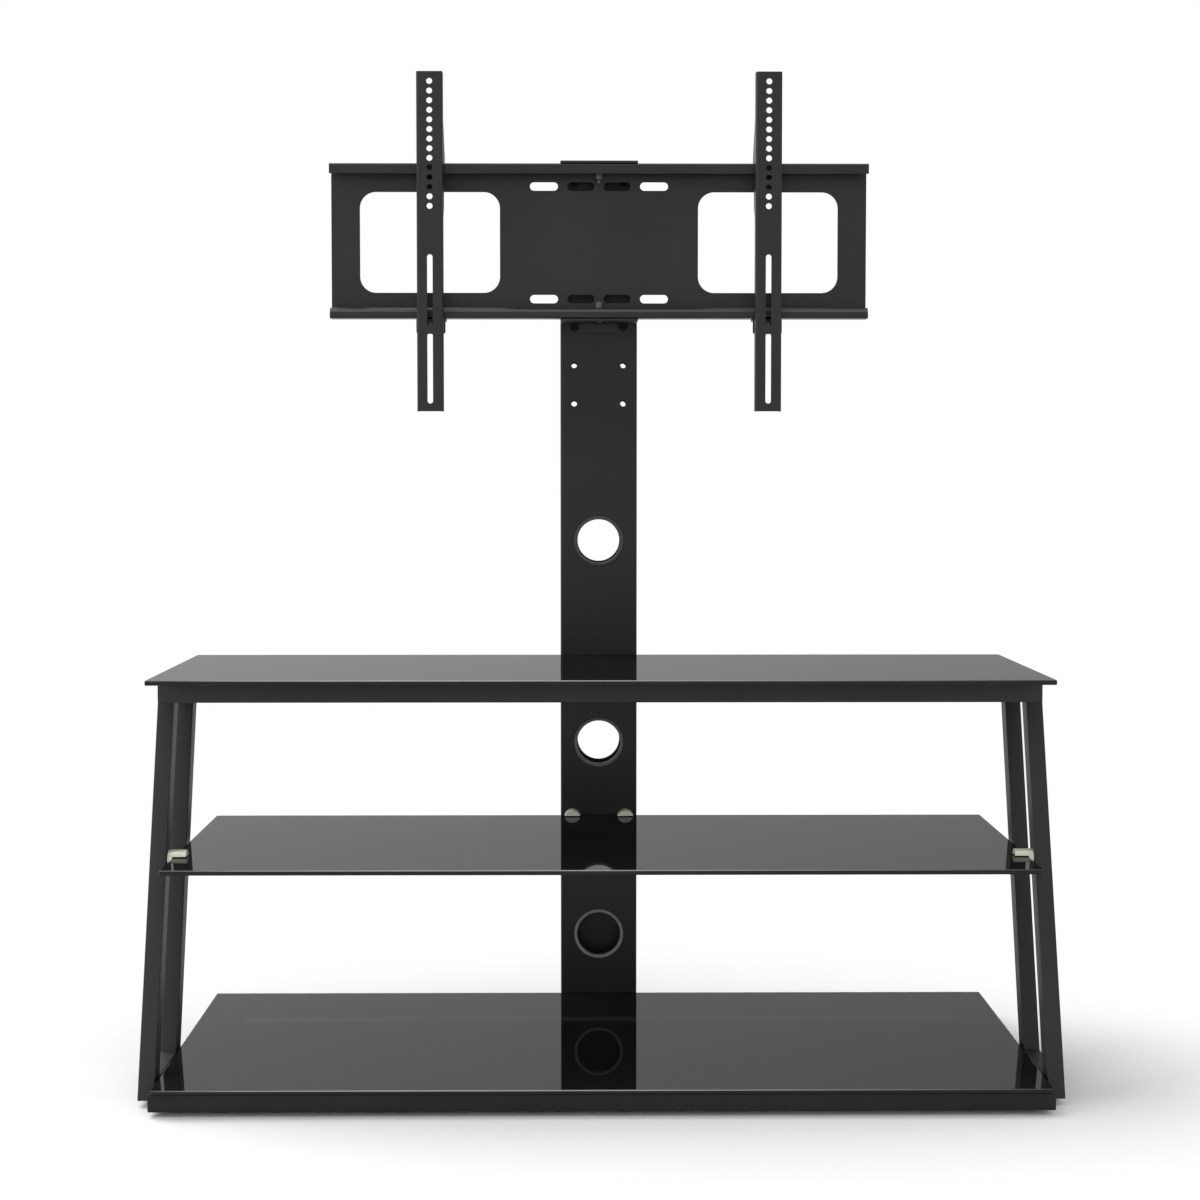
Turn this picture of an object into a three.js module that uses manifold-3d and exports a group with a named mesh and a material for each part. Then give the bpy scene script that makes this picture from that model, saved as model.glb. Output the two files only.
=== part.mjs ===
// Screen stand: three glass shelves on a raked steel frame, with a column behind them that
// carries a swivelling mount plate and two upright screen arms.
// Millimetres, +Z up, front towards -Y. Inside the model Y = 0 is the front face of the column,
// and Z = 1 is the underside of the legs; at the end the whole stand is raised onto its glides
// and moved so that its origin is the middle of its footprint.

import * as THREE from 'three';
import { mergeVertices } from 'three/addons/utils/BufferGeometryUtils.js';
import Module from 'manifold-3d';

const wasm = await Module();
wasm.setup();

// Fits shared by the whole stand
const fitGap = 0.3;             // between pieces that meet without being joined
const cutOverrun = 2;           // how far a cutter runs past the face that it opens

// Side frames
const frameWidth = 1100;        // outside of one side frame to the outside of the other
const frameTubeWidth = 20;      // across the stand
const legTubeDepth = 30;        // square to the leg
const frameTubeWall = 1.5;
const frameTubeCorner = 2.5;
const legRakeDegrees = 19.8;    // legs lean backwards as they rise
const legFootFront = 466;       // front of the front leg at the floor, ahead of the column
const legSpacing = 152;         // front leg to back leg
const legFootHeight = 1;
const legTopHeight = 457.4;
const bottomTubeHeight = 20;

// Top frame under the top glass
const topRailHeight = 22;
const frontRailDepth = 30;
const rearRailDepth = 20;
const ventDiameter = 6;         // weld vents, one in the underside of each closed tube
const padHeight = 8;
const padDiameter = 18;
const padBrimDiameter = 24;
const padBrimHeight = 2;
const padInset = 31;            // pad centre from the outside of the frame

// Base frame under the bottom glass
const glideHeight = 6;
const glideDiameter = 26;
const glideInset = 24;          // glide centre from the ends of a base rail
const baseTubeHeight = 22;
const baseDrop = 2;             // underside of the base, below the legs' feet
const baseFrontDepth = 20;
const baseSideWidth = 45;
const baseFrontFace = 511;      // front of the base rail, ahead of the column
const deckDepth = 140;
const deckSheet = 2;

// Glass shelves
const topGlassSideInset = 1.5;  // from the outside of the frame
const topGlassDepth = 400;
const topGlassThickness = 6;
const middleGlassSideGap = 7;   // to the legs
const middleGlassDepth = 450;
const middleGlassThickness = 6;
const middleGlassTop = 273.7;
const bottomGlassSideGap = 4.5;
const bottomGlassDepth = 517;
const bottomGlassThickness = 5;
const glassCorner = 2.5;
const glassBevel = 1;

// Glass clamps
const clampRadius = 11.4;       // round bar, centred on the thickness of the glass
const clampLength = 23;
const clampSpine = 6;           // solid part behind the slot
const columnClampOffset = 36;   // from the middle of the column
const clampScrewDiameter = 5;
const clampScrewHead = 9;
const clampScrewHeadHeight = 3;

// Column
const columnWidth = 104.2;
const columnDepth = 50;
const columnWall = 2;
const columnCorner = 4;
const columnTop = 1156;
const columnCapThickness = 3;
const columnPlugDepth = 12;
const upperRingRise = 155.4;    // upper cable ring, above the top glass
const middleRingDrop = 84;      // middle cable ring, below the top frame
const lowerRingHeight = 108.3;
const throughRingCount = 2;     // the two upper rings have a hole behind them in the back cover
const ringBore = 59.2;
const ringSleeveWall = 1.7;
const ringSleeveDepth = 9;
const ringFlange = 4.1;
const ringFlangeThickness = 1.6;
const backHoleDiameter = 57.6;

// Bolts that tie the column to the top frame and the base
const tieBoltDiameter = 8;
const tieBoltHead = 15;
const tieBoltHeadHeight = 4.5;
const tieBoltOffset = 36;
const tieBoltReach = 12;        // past the front of the column

// Head: swivel bracket on the column
const headStep = 52;            // pitch of the rows of bolt holes
const headSteps = 2;            // settings below the one shown
const headBoltOffset = 33.4;
const headBoltHeight = 940.2;   // lower bolts
const headBoltSpacing = 195.5;  // lower bolts to upper bolts
const headBoltDiameter = 6;
const headBoltHead = 13.4;
const headBoltHeadHeight = 5;
const headBoltSocket = 5;
const headBoltHole = 6.8;
const headPlateWidth = 86;
const headPlateThickness = 3;
const headPlateBelow = 8.5;     // below the lower bolts
const earWidth = 103;
const earThickness = 3;
const earNeckWidth = 46;
const earNeckLength = 10;
const earClearance = 0.4;       // ear to plate flange
const earCorner = 1.5;

// Pivot bolts
const pivotForward = 61.5;      // pivot axis, ahead of the column
const pivotShank = 6;
const pivotHole = 6.6;
const upperPivotDiameter = 10.4;
const upperPivotLength = 18.5;
const upperPivotTip = 4.4;
const upperPivotTipLength = 4.5;
const lowerPivotDiameter = 10;
const lowerPivotLength = 20.4;
const pivotEndBevel = 1.2;
const lowerPivotStub = 1.6;

// Mount plate
const plateWidth = 714;
const plateHeight = 204;
const plateBottom = 946.8;
const plateSheet = 2;
const plateWebFront = 48;       // front of the web, ahead of the column
const plateDepth = 31;          // lip front to web back
const topLipHeight = 13.5;
const bottomLipHeight = 7.4;
const bottomLipRoll = 7;        // the bottom lip then leans back at 45 degrees
const plateBendRadius = 2;
const windowInner = 132.3;      // window sides from the middle of the plate
const windowOuter = 318.9;
const windowBottom = 982.4;
const windowTop = 1116;
const windowCorner = 21.5;
const slotHeight = 11.2;
const slotRowInset = 27.3;      // slot centres from the top and bottom of the plate
const innerSlotStart = 6.1;
const innerSlotLength = 36;
const outerSlotStart = 54.8;
const outerSlotLength = 37.4;
const slotEndFlat = 0.05;       // keeps the corners of a slot's round end a hair apart

// Screen arms
const armSpread = 223;          // arm centre from the middle of the plate
const armWidth = 34.5;
const armLength = 444.4;
const armBottom = 823.3;
const armFront = 97;            // front of the arm, ahead of the column
const armSheet = 2;
const armFlangeDepth = 18.5;
const armBendRadius = 2.2;
const armHoleCount = 14;
const armHolePitch = 12.5;
const armHoleDiameter = 7.8;
const armTopHoleInset = 12.8;
const armSlotWidth = 7.2;
const lowerSlotStart = 10.3;    // from the bottom of the arm
const lowerSlotLength = 92.4;
const upperSlotStart = 111.6;
const upperSlotLength = 94.4;
const hookAbovePlate = 58;
const hookRise = 16;            // side wings over the plate, down to the seat
const hookSeatGap = 0.4;
const hookToothDepth = 11;      // down behind the web
const hookToothThickness = 4;
const hookToothGap = 0.9;
const spacerDepth = 17;         // wing below the top lip, behind the arm's flange
const spacerLength = 56;
const spacerTopGap = 3;

// Lower hook brackets and locking screws
const catchWidth = 38.6;
const catchSheet = 2;
const catchBottom = 926;
const catchShelfGap = 1;        // under the plate's bottom flange
const catchToothHeight = 16;
const catchToothGap = 2.6;
const catchCorner = 2;
const lockScrewHead = 7;
const lockScrewHeadLength = 5;
const lockScrewShank = 5;
const lockScrewHeight = 937;
const lockScrewInset = 6;       // head front behind the arm's front face
const lockScrewHexShare = 0.5;

// How finely round shapes are divided
const largeRoundSides = 36;
const holeSides = 12;
const smallRoundSides = 16;
const cornerSteps = 3;
const socketSides = 6;

// Sizes that follow from the ones above
const half = 0.5;
const frameHalf = frameWidth * half;
const frameInner = frameHalf - frameTubeWidth;
const rakeSlope = Math.tan(THREE.MathUtils.degToRad(legRakeDegrees));
const legLevelDepth = legTubeDepth / Math.cos(THREE.MathUtils.degToRad(legRakeDegrees));
const legRun = rakeSlope * (legTopHeight - legFootHeight);
const topRailFront = legFootFront - legRun;
const topRailTop = legTopHeight + topRailHeight;
const topGlassBottom = topRailTop + padHeight + fitGap;
const baseHalf = frameInner - fitGap;
const baseBottom = legFootHeight - baseDrop;
const glideBottom = baseBottom - glideHeight;
const baseTop = baseBottom + baseTubeHeight;
const bottomGlassBottom = baseTop + fitGap;
const topGlassWidth = frameWidth - topGlassSideInset - topGlassSideInset;
const middleGlassWidth = frameInner + frameInner - middleGlassSideGap - middleGlassSideGap;
const bottomGlassWidth = frameInner + frameInner - bottomGlassSideGap - bottomGlassSideGap;
const topGlassTop = topGlassBottom + topGlassThickness;
const ringHeights = [topGlassTop + upperRingRise, legTopHeight - middleRingDrop, lowerRingHeight];
const baseRearRailHeight = baseTubeHeight - deckSheet - fitGap;
const plateTop = plateBottom + plateHeight;
const plateWebBack = plateWebFront - plateSheet;
const plateLipFront = plateWebBack + plateDepth;
const columnHalf = columnWidth * half;
const headPlateFront = fitGap + headPlateThickness;
const frontMost = bottomGlassDepth + fitGap;
const rearMost = -(columnDepth + tieBoltHeadHeight);

// Materials, one for each finish
function finish(color, roughness, metalness) {
  return new THREE.MeshStandardMaterial({ color, roughness, metalness });
}
const finishes = {
  framePaint: () => finish(0x2c2c2d, 0.55, 0.2),
  columnPaint: () => finish(0x232324, 0.5, 0.2),
  platePaint: () => finish(0x2e2e2f, 0.55, 0.2),
  armPaint: () => finish(0x323233, 0.55, 0.2),
  blackGlass: () => finish(0x101113, 0.06, 0),
  clampMetal: () => finish(0xc9c8bb, 0.35, 0.9),
  blackBolt: () => finish(0x141415, 0.4, 0.6),
  zincBolt: () => finish(0x8c8c8a, 0.4, 0.8),
  ringPlastic: () => finish(0x3b3b3c, 0.5, 0),
  capPlastic: () => finish(0x1b1b1c, 0.6, 0),
  padRubber: () => finish(0x0d0d0e, 0.7, 0),
};

// Turning three.js geometry into solids and back
function toSolid(geometry) {
  const plain = geometry.clone();
  plain.deleteAttribute('normal');
  plain.deleteAttribute('uv');
  const merged = mergeVertices(plain, 1e-4);
  return new wasm.Manifold(new wasm.Mesh({
    numProp: 3,
    vertProperties: new Float32Array(merged.attributes.position.array),
    triVerts: new Uint32Array(merged.index.array),
  }));
}

function toGeometry(solid) {
  const mesh = solid.getMesh();
  const geometry = new THREE.BufferGeometry();
  geometry.setAttribute('position', new THREE.BufferAttribute(new Float32Array(mesh.vertProperties), 3));
  geometry.setIndex(new THREE.BufferAttribute(new Uint32Array(mesh.triVerts), 1));
  const faceted = geometry.toNonIndexed();
  faceted.computeVertexNormals();
  return faceted;
}

function join(...geometries) {
  return toGeometry(geometries.map(toSolid).reduce((whole, piece) => whole.add(piece)));
}

function cut(body, ...cutters) {
  return toGeometry(cutters.map(toSolid).reduce((whole, cutter) => whole.subtract(cutter), toSolid(body)));
}

// A block between two corners; forward is measured from the column towards the front
function block(left, right, front, back, bottom, top) {
  const geometry = new THREE.BoxGeometry(right - left, front - back, top - bottom);
  geometry.translate((left + right) * half, -(front + back) * half, (bottom + top) * half);
  return geometry;
}

function roundedRectangle(width, height, radius, centreX = 0, centreY = 0) {
  const x = width * half;
  const y = height * half;
  const quarter = Math.PI * half;
  const corners = [
    [x - radius, y - radius],
    [radius - x, y - radius],
    [radius - x, radius - y],
    [x - radius, radius - y],
  ];
  const shape = new THREE.Shape();
  corners.forEach(([cornerX, cornerY], turn) => {
    for (let step = 0; step <= cornerSteps; step += 1) {
      const angle = quarter * (turn + step / cornerSteps);
      const pointX = centreX + cornerX + radius * Math.cos(angle);
      const pointY = centreY + cornerY + radius * Math.sin(angle);
      if (turn === 0 && step === 0) shape.moveTo(pointX, pointY);
      else shape.lineTo(pointX, pointY);
    }
  });
  shape.closePath();
  return shape;
}

function cornerArc(shape, centreX, centreY, radius, from, to) {
  for (let step = 0; step <= cornerSteps; step += 1) {
    const angle = from + (to - from) * step / cornerSteps;
    shape.lineTo(centreX + radius * Math.cos(angle), centreY + radius * Math.sin(angle));
  }
}

function extrude(shape, length) {
  return new THREE.ExtrudeGeometry(shape, { depth: length, bevelEnabled: false });
}

// Outline drawn in (Y, Z), run along X
function alongX(shape, start, length) {
  const turn = new THREE.Matrix4().makeBasis(
    new THREE.Vector3(0, 1, 0), new THREE.Vector3(0, 0, 1), new THREE.Vector3(1, 0, 0));
  return extrude(shape, length).applyMatrix4(turn).translate(start, 0, 0);
}

// Outline drawn in (X, Z) as seen from the front, run from the back face towards the viewer
function towardsFront(shape, backForward, length) {
  const turn = new THREE.Matrix4().makeBasis(
    new THREE.Vector3(1, 0, 0), new THREE.Vector3(0, 0, 1), new THREE.Vector3(0, -1, 0));
  return extrude(shape, length).applyMatrix4(turn).translate(0, -backForward, 0);
}

// Round bar from one forward distance to a nearer one, on a centre seen from the front
function barForward(x, z, radius, backForward, frontForward, sides = smallRoundSides) {
  const geometry = new THREE.CylinderGeometry(radius, radius, frontForward - backForward, sides);
  return geometry.translate(x, -(backForward + frontForward) * half, z);
}

function barUp(x, forward, radius, bottom, top, sides = smallRoundSides) {
  const geometry = new THREE.CylinderGeometry(radius, radius, top - bottom, sides);
  return geometry.rotateX(Math.PI * half).translate(x, -forward, (bottom + top) * half);
}

function turned(profile, sides) {
  const points = profile.map(([radius, height]) => new THREE.Vector2(radius, height));
  return new THREE.LatheGeometry(points, sides);
}

// Pieces are collected into one group
const stand = new THREE.Group();
function add(name, geometry, material) {
  const mesh = new THREE.Mesh(geometry, finishes[material]());
  mesh.name = name;
  stand.add(mesh);
}

// Square-cornered steel tube with rounded edges
function tubeOutline(width, height, centreX, centreY, hollow) {
  const outline = roundedRectangle(width, height, frameTubeCorner, centreX, centreY);
  if (hollow) {
    const twoWalls = frameTubeWall + frameTubeWall;
    outline.holes.push(roundedRectangle(width - twoWalls, height - twoWalls, frameTubeCorner - frameTubeWall,
      centreX, centreY));
  }
  return outline;
}

// Weld vent in the underside of a closed tube
function ventHole(x, forward, bottom) {
  return barUp(x, forward, ventDiameter * half, bottom - cutOverrun, bottom + frameTubeWall + cutOverrun);
}

// Closed tube across the stand, hollow inside
function crossTube(halfLength, front, depth, bottom, height) {
  const forward = front - depth * half;
  const outline = tubeOutline(depth, height, -forward, bottom + height * half, false);
  const body = alongX(outline, -halfLength, halfLength + halfLength);
  const insideHalf = halfLength - frameTubeWall;
  const inside = block(-insideHalf, insideHalf, front - frameTubeWall, front - depth + frameTubeWall,
    bottom + frameTubeWall, bottom + height - frameTubeWall);
  return cut(body, inside, ventHole(0, forward, bottom));
}

// Closed tube from front to back on one side, drawn for the right and mirrored for the left
function lengthTube(inner, outer, front, back, bottom, height) {
  const outline = tubeOutline(outer - inner, height, 0, 0, false);
  const body = extrude(outline, front - back).rotateX(Math.PI * half)
    .translate((inner + outer) * half, -back, bottom + height * half);
  const inside = block(inner + frameTubeWall, outer - frameTubeWall,
    front - frameTubeWall, back + frameTubeWall, bottom + frameTubeWall, bottom + height - frameTubeWall);
  return cut(body, inside, ventHole((inner + outer) * half, (front + back) * half, bottom));
}

// Leaning piece: upright above the floor, then slid backwards with its height
function rake(geometry) {
  const lean = new THREE.Matrix4().makeShear(0, 0, 0, 0, 0, rakeSlope);
  return geometry.applyMatrix4(lean).translate(0, -rakeSlope * legFootHeight, 0);
}

function mirrored(geometry, side) {
  if (side > 0) return geometry;
  const flipped = geometry.clone().applyMatrix4(new THREE.Matrix4().makeScale(-1, 1, 1));
  const plain = flipped.index ? flipped.toNonIndexed() : flipped;
  const points = plain.attributes.position;
  for (let corner = 0; corner < points.count; corner += 3) {
    const [x, y, z] = [points.getX(corner), points.getY(corner), points.getZ(corner)];
    points.setXYZ(corner, points.getX(corner + 1), points.getY(corner + 1), points.getZ(corner + 1));
    points.setXYZ(corner + 1, x, y, z);
  }
  plain.computeVertexNormals();
  return plain;
}

const sides = [['left', -1], ['right', 1]];

// Side frames: two raked legs, a bottom tube between them and a top tube
function leg(front) {
  const outline = tubeOutline(frameTubeWidth, legLevelDepth, 0, 0, true);
  const upright = extrude(outline, legTopHeight - legFootHeight);
  const middle = frameHalf - frameTubeWidth * half;
  return rake(upright.translate(middle, legLevelDepth * half - front, legFootHeight));
}

function bottomTube() {
  const outline = tubeOutline(frameTubeWidth, bottomTubeHeight, 0, 0, true);
  const level = extrude(outline, legSpacing - legLevelDepth).rotateX(Math.PI * half);
  return rake(level.translate(frameHalf - frameTubeWidth * half, legSpacing - legFootFront,
    legFootHeight + bottomTubeHeight * half));
}

function topTube() {
  const outline = tubeOutline(frameTubeWidth, topRailHeight, 0, 0, true);
  const front = topRailFront - frontRailDepth;
  const back = rearRailDepth + fitGap;
  return extrude(outline, front - back).rotateX(Math.PI * half)
    .translate(frameHalf - frameTubeWidth * half, -back, legTopHeight + topRailHeight * half);
}

function sideFrames() {
  for (const [name, side] of sides) {
    add(`${name}_front_leg`, mirrored(leg(legFootFront), side), 'framePaint');
    add(`${name}_back_leg`, mirrored(leg(legFootFront - legSpacing), side), 'framePaint');
    add(`${name}_bottom_tube`, mirrored(bottomTube(), side), 'framePaint');
    add(`${name}_top_tube`, mirrored(topTube(), side), 'framePaint');
  }
}

// Bolt holes through a wall of the column or of a rail behind it
function tieHoles(height, backForward, frontForward) {
  return sides.map(([, side]) => barForward(side * tieBoltOffset, height, tieBoltDiameter * half + fitGap,
    backForward, frontForward, holeSides));
}
const upperTieHeight = legTopHeight + topRailHeight * half;
const lowerTieHeight = baseBottom + baseRearRailHeight * half;

function topRails() {
  const front = crossTube(frameHalf, topRailFront, frontRailDepth, legTopHeight, topRailHeight);
  add('top_front_rail', front, 'framePaint');
  const rear = crossTube(frameHalf, rearRailDepth + fitGap, rearRailDepth, legTopHeight, topRailHeight);
  const holes = tieHoles(upperTieHeight, -cutOverrun, fitGap + frameTubeWall + cutOverrun);
  add('top_rear_rail', cut(rear, ...holes), 'framePaint');
}

// Base frame: front rail, side rails, a rear rail that the column is bolted to, and a sheet deck over it
function baseFrame() {
  const insideHalf = baseHalf - baseSideWidth;
  const front = crossTube(baseHalf, baseFrontFace, baseFrontDepth, baseBottom, baseTubeHeight);
  add('base_front_rail', front, 'framePaint');
  for (const [name, side] of sides) {
    const rail = lengthTube(insideHalf, baseHalf, baseFrontFace - baseFrontDepth, fitGap,
      baseBottom, baseTubeHeight);
    add(`${name}_base_rail`, mirrored(rail, side), 'framePaint');
  }
  const rear = crossTube(insideHalf, rearRailDepth + fitGap, rearRailDepth, baseBottom, baseRearRailHeight);
  const holes = tieHoles(lowerTieHeight, -cutOverrun, fitGap + frameTubeWall + cutOverrun);
  add('base_rear_rail', cut(rear, ...holes), 'framePaint');
  const sheet = block(-insideHalf, insideHalf, deckDepth + fitGap, fitGap, baseTop - deckSheet, baseTop);
  add('base_rear_deck', sheet, 'framePaint');
}

function glides() {
  const places = [['front', baseFrontFace - baseFrontDepth - glideInset], ['rear', fitGap + glideInset]];
  for (const [name, side] of sides) {
    for (const [end, forward] of places) {
      const x = side * (baseHalf - baseSideWidth * half);
      add(`${name}_${end}_glide`, barUp(x, forward, glideDiameter * half, glideBottom, baseBottom), 'padRubber');
    }
  }
}

// Glass shelf with ground and bevelled edges
function shelf(width, depth, thickness, back, bottom) {
  const outline = roundedRectangle(width, depth, glassCorner);
  const slab = new THREE.ExtrudeGeometry(outline, {
    depth: thickness - glassBevel - glassBevel,
    bevelThickness: glassBevel,
    bevelSize: glassBevel,
    bevelOffset: -glassBevel,
    bevelSegments: 1,
  });
  return slab.translate(0, -back - depth * half, bottom + glassBevel);
}

const middleGlassBottom = middleGlassTop - middleGlassThickness;
const middleGlassBack = clampSpine + fitGap + fitGap;

function shelves() {
  const top = shelf(topGlassWidth, topGlassDepth, topGlassThickness, fitGap, topGlassBottom);
  const middle = shelf(middleGlassWidth, middleGlassDepth, middleGlassThickness, middleGlassBack,
    middleGlassBottom);
  const bottom = shelf(bottomGlassWidth, bottomGlassDepth, bottomGlassThickness, fitGap, bottomGlassBottom);
  add('top_glass', top, 'blackGlass');
  add('middle_glass', middle, 'blackGlass');
  add('bottom_glass', bottom, 'blackGlass');
}

// Rubber pads that carry the top glass
function pads() {
  const stem = padDiameter * half;
  const brim = padBrimDiameter * half;
  const profile = [
    [0, 0],
    [stem, 0],
    [stem, padHeight - padBrimHeight],
    [brim, padHeight - padBrimHeight * half],
    [brim, padHeight],
    [0, padHeight],
  ];
  const rows = [['front', topRailFront - frontRailDepth * half], ['rear', fitGap + padBrimDiameter * half]];
  for (const [name, side] of sides) {
    for (const [end, forward] of rows) {
      const pad = turned(profile, smallRoundSides).rotateX(Math.PI * half);
      pad.translate(side * (frameHalf - padInset), -forward, topRailTop);
      add(`${name}_${end}_pad`, pad, 'padRubber');
    }
  }
}

const clampScrewPlace = (clampSpine + clampLength) * half;

// Round glass clamp with the shelf in its slot. It is drawn with its seat at the origin,
// pointing along +X, and the top of the glass at zero height.
function clampBody() {
  const lower = -middleGlassThickness;
  const outline = new THREE.Shape();
  outline.absarc(0, lower * half, clampRadius, 0, Math.PI + Math.PI, false);
  const body = alongX(outline, 0, clampLength);
  const slot = new THREE.BoxGeometry(clampLength, clampRadius + clampRadius + cutOverrun,
    middleGlassThickness + fitGap + fitGap);
  slot.translate(clampSpine + clampLength * half, 0, lower * half);
  const screwHole = barUp(clampScrewPlace, 0, clampScrewDiameter * half + fitGap,
    lower - clampRadius - cutOverrun, 0, holeSides);
  return cut(body, slot, screwHole);
}

function clampScrew() {
  const tip = -middleGlassThickness - fitGap;
  const seat = -middleGlassThickness * half - clampRadius;
  const shank = barUp(clampScrewPlace, 0, clampScrewDiameter * half, seat, tip);
  const head = barUp(clampScrewPlace, 0, clampScrewHead * half, seat - clampScrewHeadHeight, seat);
  return join(shank, head);
}

function clamps() {
  const legForward = legFootFront - rakeSlope * (middleGlassTop - legFootHeight) - legLevelDepth * half;
  const places = [
    ['left', -frameInner + fitGap, -legForward, 0],
    ['right', frameInner - fitGap, -legForward, Math.PI],
    ['column_left', -columnClampOffset, -fitGap, -Math.PI * half],
    ['column_right', columnClampOffset, -fitGap, -Math.PI * half],
  ];
  for (const [name, x, y, turn] of places) {
    add(`${name}_glass_clamp`, clampBody().rotateZ(turn).translate(x, y, middleGlassTop), 'clampMetal');
    add(`${name}_clamp_screw`, clampScrew().rotateZ(turn).translate(x, y, middleGlassTop), 'clampMetal');
  }
}

// Column: a folded channel with a flat cover let in behind it. Both have the rows of head bolt
// holes and the tie bolt holes; the cable holes go right through, but for the lowest.
function headBoltRows() {
  const rows = [];
  for (let step = 0; step <= headSteps; step += 1) {
    rows.push(headBoltHeight - step * headStep, headBoltHeight + headBoltSpacing - step * headStep);
  }
  return rows;
}

function columnChannel() {
  const side = columnHalf - columnWall;
  const inset = columnHalf - columnCorner;
  const quarter = Math.PI * half;
  const shape = new THREE.Shape();
  shape.moveTo(-columnHalf, columnDepth);
  cornerArc(shape, -inset, columnCorner, columnCorner, Math.PI, Math.PI + quarter);
  cornerArc(shape, inset, columnCorner, columnCorner, -quarter, 0);
  shape.lineTo(columnHalf, columnDepth);
  shape.lineTo(side, columnDepth);
  cornerArc(shape, inset, columnCorner, columnCorner - columnWall, 0, -quarter);
  cornerArc(shape, -inset, columnCorner, columnCorner - columnWall, Math.PI + quarter, Math.PI);
  shape.lineTo(-side, columnDepth);
  shape.closePath();
  return extrude(shape, columnTop - baseBottom).translate(0, 0, baseBottom);
}

// Bolt holes that run right through the column
function columnBoltHoles(backForward, frontForward) {
  const holes = [];
  for (const height of headBoltRows()) {
    for (const [, side] of sides) {
      holes.push(barForward(side * headBoltOffset, height, headBoltHole * half, backForward, frontForward,
        holeSides));
    }
  }
  for (const height of [upperTieHeight, lowerTieHeight]) {
    holes.push(...tieHoles(height, backForward, frontForward));
  }
  return holes;
}

function column() {
  const ringHole = ringBore * half + ringSleeveWall + fitGap;
  const frontCutters = columnBoltHoles(-columnWall - cutOverrun, cutOverrun);
  for (const height of ringHeights) {
    frontCutters.push(barForward(0, height, ringHole, -columnWall - cutOverrun, cutOverrun,
      largeRoundSides));
  }
  add('column', cut(columnChannel(), ...frontCutters), 'columnPaint');
  const backFace = -columnDepth - cutOverrun;
  const coverFront = columnWall - columnDepth;
  const coverHalf = columnHalf - columnWall - fitGap;
  const cover = block(-coverHalf, coverHalf, coverFront, -columnDepth, baseBottom, columnTop);
  const coverCutters = columnBoltHoles(backFace, coverFront + cutOverrun);
  for (const height of ringHeights.slice(0, throughRingCount)) {
    coverCutters.push(barForward(0, height, backHoleDiameter * half, backFace, coverFront + cutOverrun,
      largeRoundSides));
  }
  add('column_back', cut(cover, ...coverCutters), 'columnPaint');
}

// Plastic plugs in the two ends of the column
function columnPlug(seat, direction, coverThickness) {
  const middle = columnDepth * half;
  const twoWalls = columnWall + columnWall + fitGap + fitGap;
  const cover = extrude(roundedRectangle(columnWidth, columnDepth, columnCorner, 0, middle), coverThickness);
  const plugOutline = roundedRectangle(columnWidth - twoWalls, columnDepth - twoWalls,
    columnCorner - columnWall, 0, middle);
  const plug = extrude(plugOutline, columnPlugDepth + coverThickness * half);
  const coverBottom = direction > 0 ? seat : seat - coverThickness;
  const plugBottom = direction > 0 ? seat - columnPlugDepth : seat - coverThickness * half;
  return join(cover.translate(0, 0, coverBottom), plug.translate(0, 0, plugBottom));
}

function columnEnds() {
  add('column_cap', columnPlug(columnTop, 1, columnCapThickness), 'capPlastic');
  const foot = columnPlug(baseBottom, -1, glideHeight);
  const holes = tieHoles(lowerTieHeight, -columnDepth - cutOverrun, cutOverrun);
  add('column_foot', cut(foot, ...holes), 'capPlastic');
}

// Cable ring: a sleeve through the front wall with a flange on the face
function cableRing(height) {
  const bore = ringBore * half;
  const sleeve = bore + ringSleeveWall;
  const flange = bore + ringFlange;
  const profile = [
    [bore, -ringSleeveDepth],
    [sleeve, -ringSleeveDepth],
    [sleeve, fitGap],
    [flange, fitGap],
    [flange - ringFlangeThickness * half, ringFlangeThickness],
    [bore, ringFlangeThickness],
    [bore, -ringSleeveDepth],
  ];
  return turned(profile, largeRoundSides).rotateX(Math.PI).translate(0, 0, height);
}

function cableRings() {
  ['upper', 'middle', 'lower'].forEach((name, index) => {
    add(`${name}_cable_ring`, cableRing(ringHeights[index]), 'ringPlastic');
  });
}

// Bolts through the column into the top rear rail and the deck, with their heads at the back
function tieBolts() {
  for (const [level, height] of [['upper', upperTieHeight], ['lower', lowerTieHeight]]) {
    for (const [name, side] of sides) {
      const x = side * tieBoltOffset;
      const back = -columnDepth - fitGap;
      const shank = barForward(x, height, tieBoltDiameter * half, back, tieBoltReach);
      const head = barForward(x, height, tieBoltHead * half, back - tieBoltHeadHeight + fitGap, back);
      add(`${level}_${name}_tie_bolt`, join(shank, head), 'blackBolt');
    }
  }
}

// Swivel bracket: a plate on the column's face with an ear above and an ear below the mount plate
function ear(bottom) {
  const neck = earNeckWidth * half;
  const wide = earWidth * half;
  const tip = plateLipFront;
  const root = fitGap;
  const flare = headPlateFront + earNeckLength;
  const shape = new THREE.Shape();
  shape.moveTo(-neck, -root);
  shape.lineTo(-neck, -flare);
  shape.lineTo(-wide, -flare);
  shape.lineTo(-wide, earCorner - tip);
  shape.lineTo(earCorner - wide, -tip);
  shape.lineTo(wide - earCorner, -tip);
  shape.lineTo(wide, earCorner - tip);
  shape.lineTo(wide, -flare);
  shape.lineTo(neck, -flare);
  shape.lineTo(neck, -root);
  shape.closePath();
  const plate = extrude(shape, earThickness).translate(0, 0, bottom);
  const hole = barUp(0, pivotForward, pivotHole * half, bottom - cutOverrun,
    bottom + earThickness + cutOverrun, holeSides);
  return cut(plate, hole);
}

const upperEarBottom = plateTop + earClearance;
const lowerEarBottom = plateBottom - earClearance - earThickness;

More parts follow.
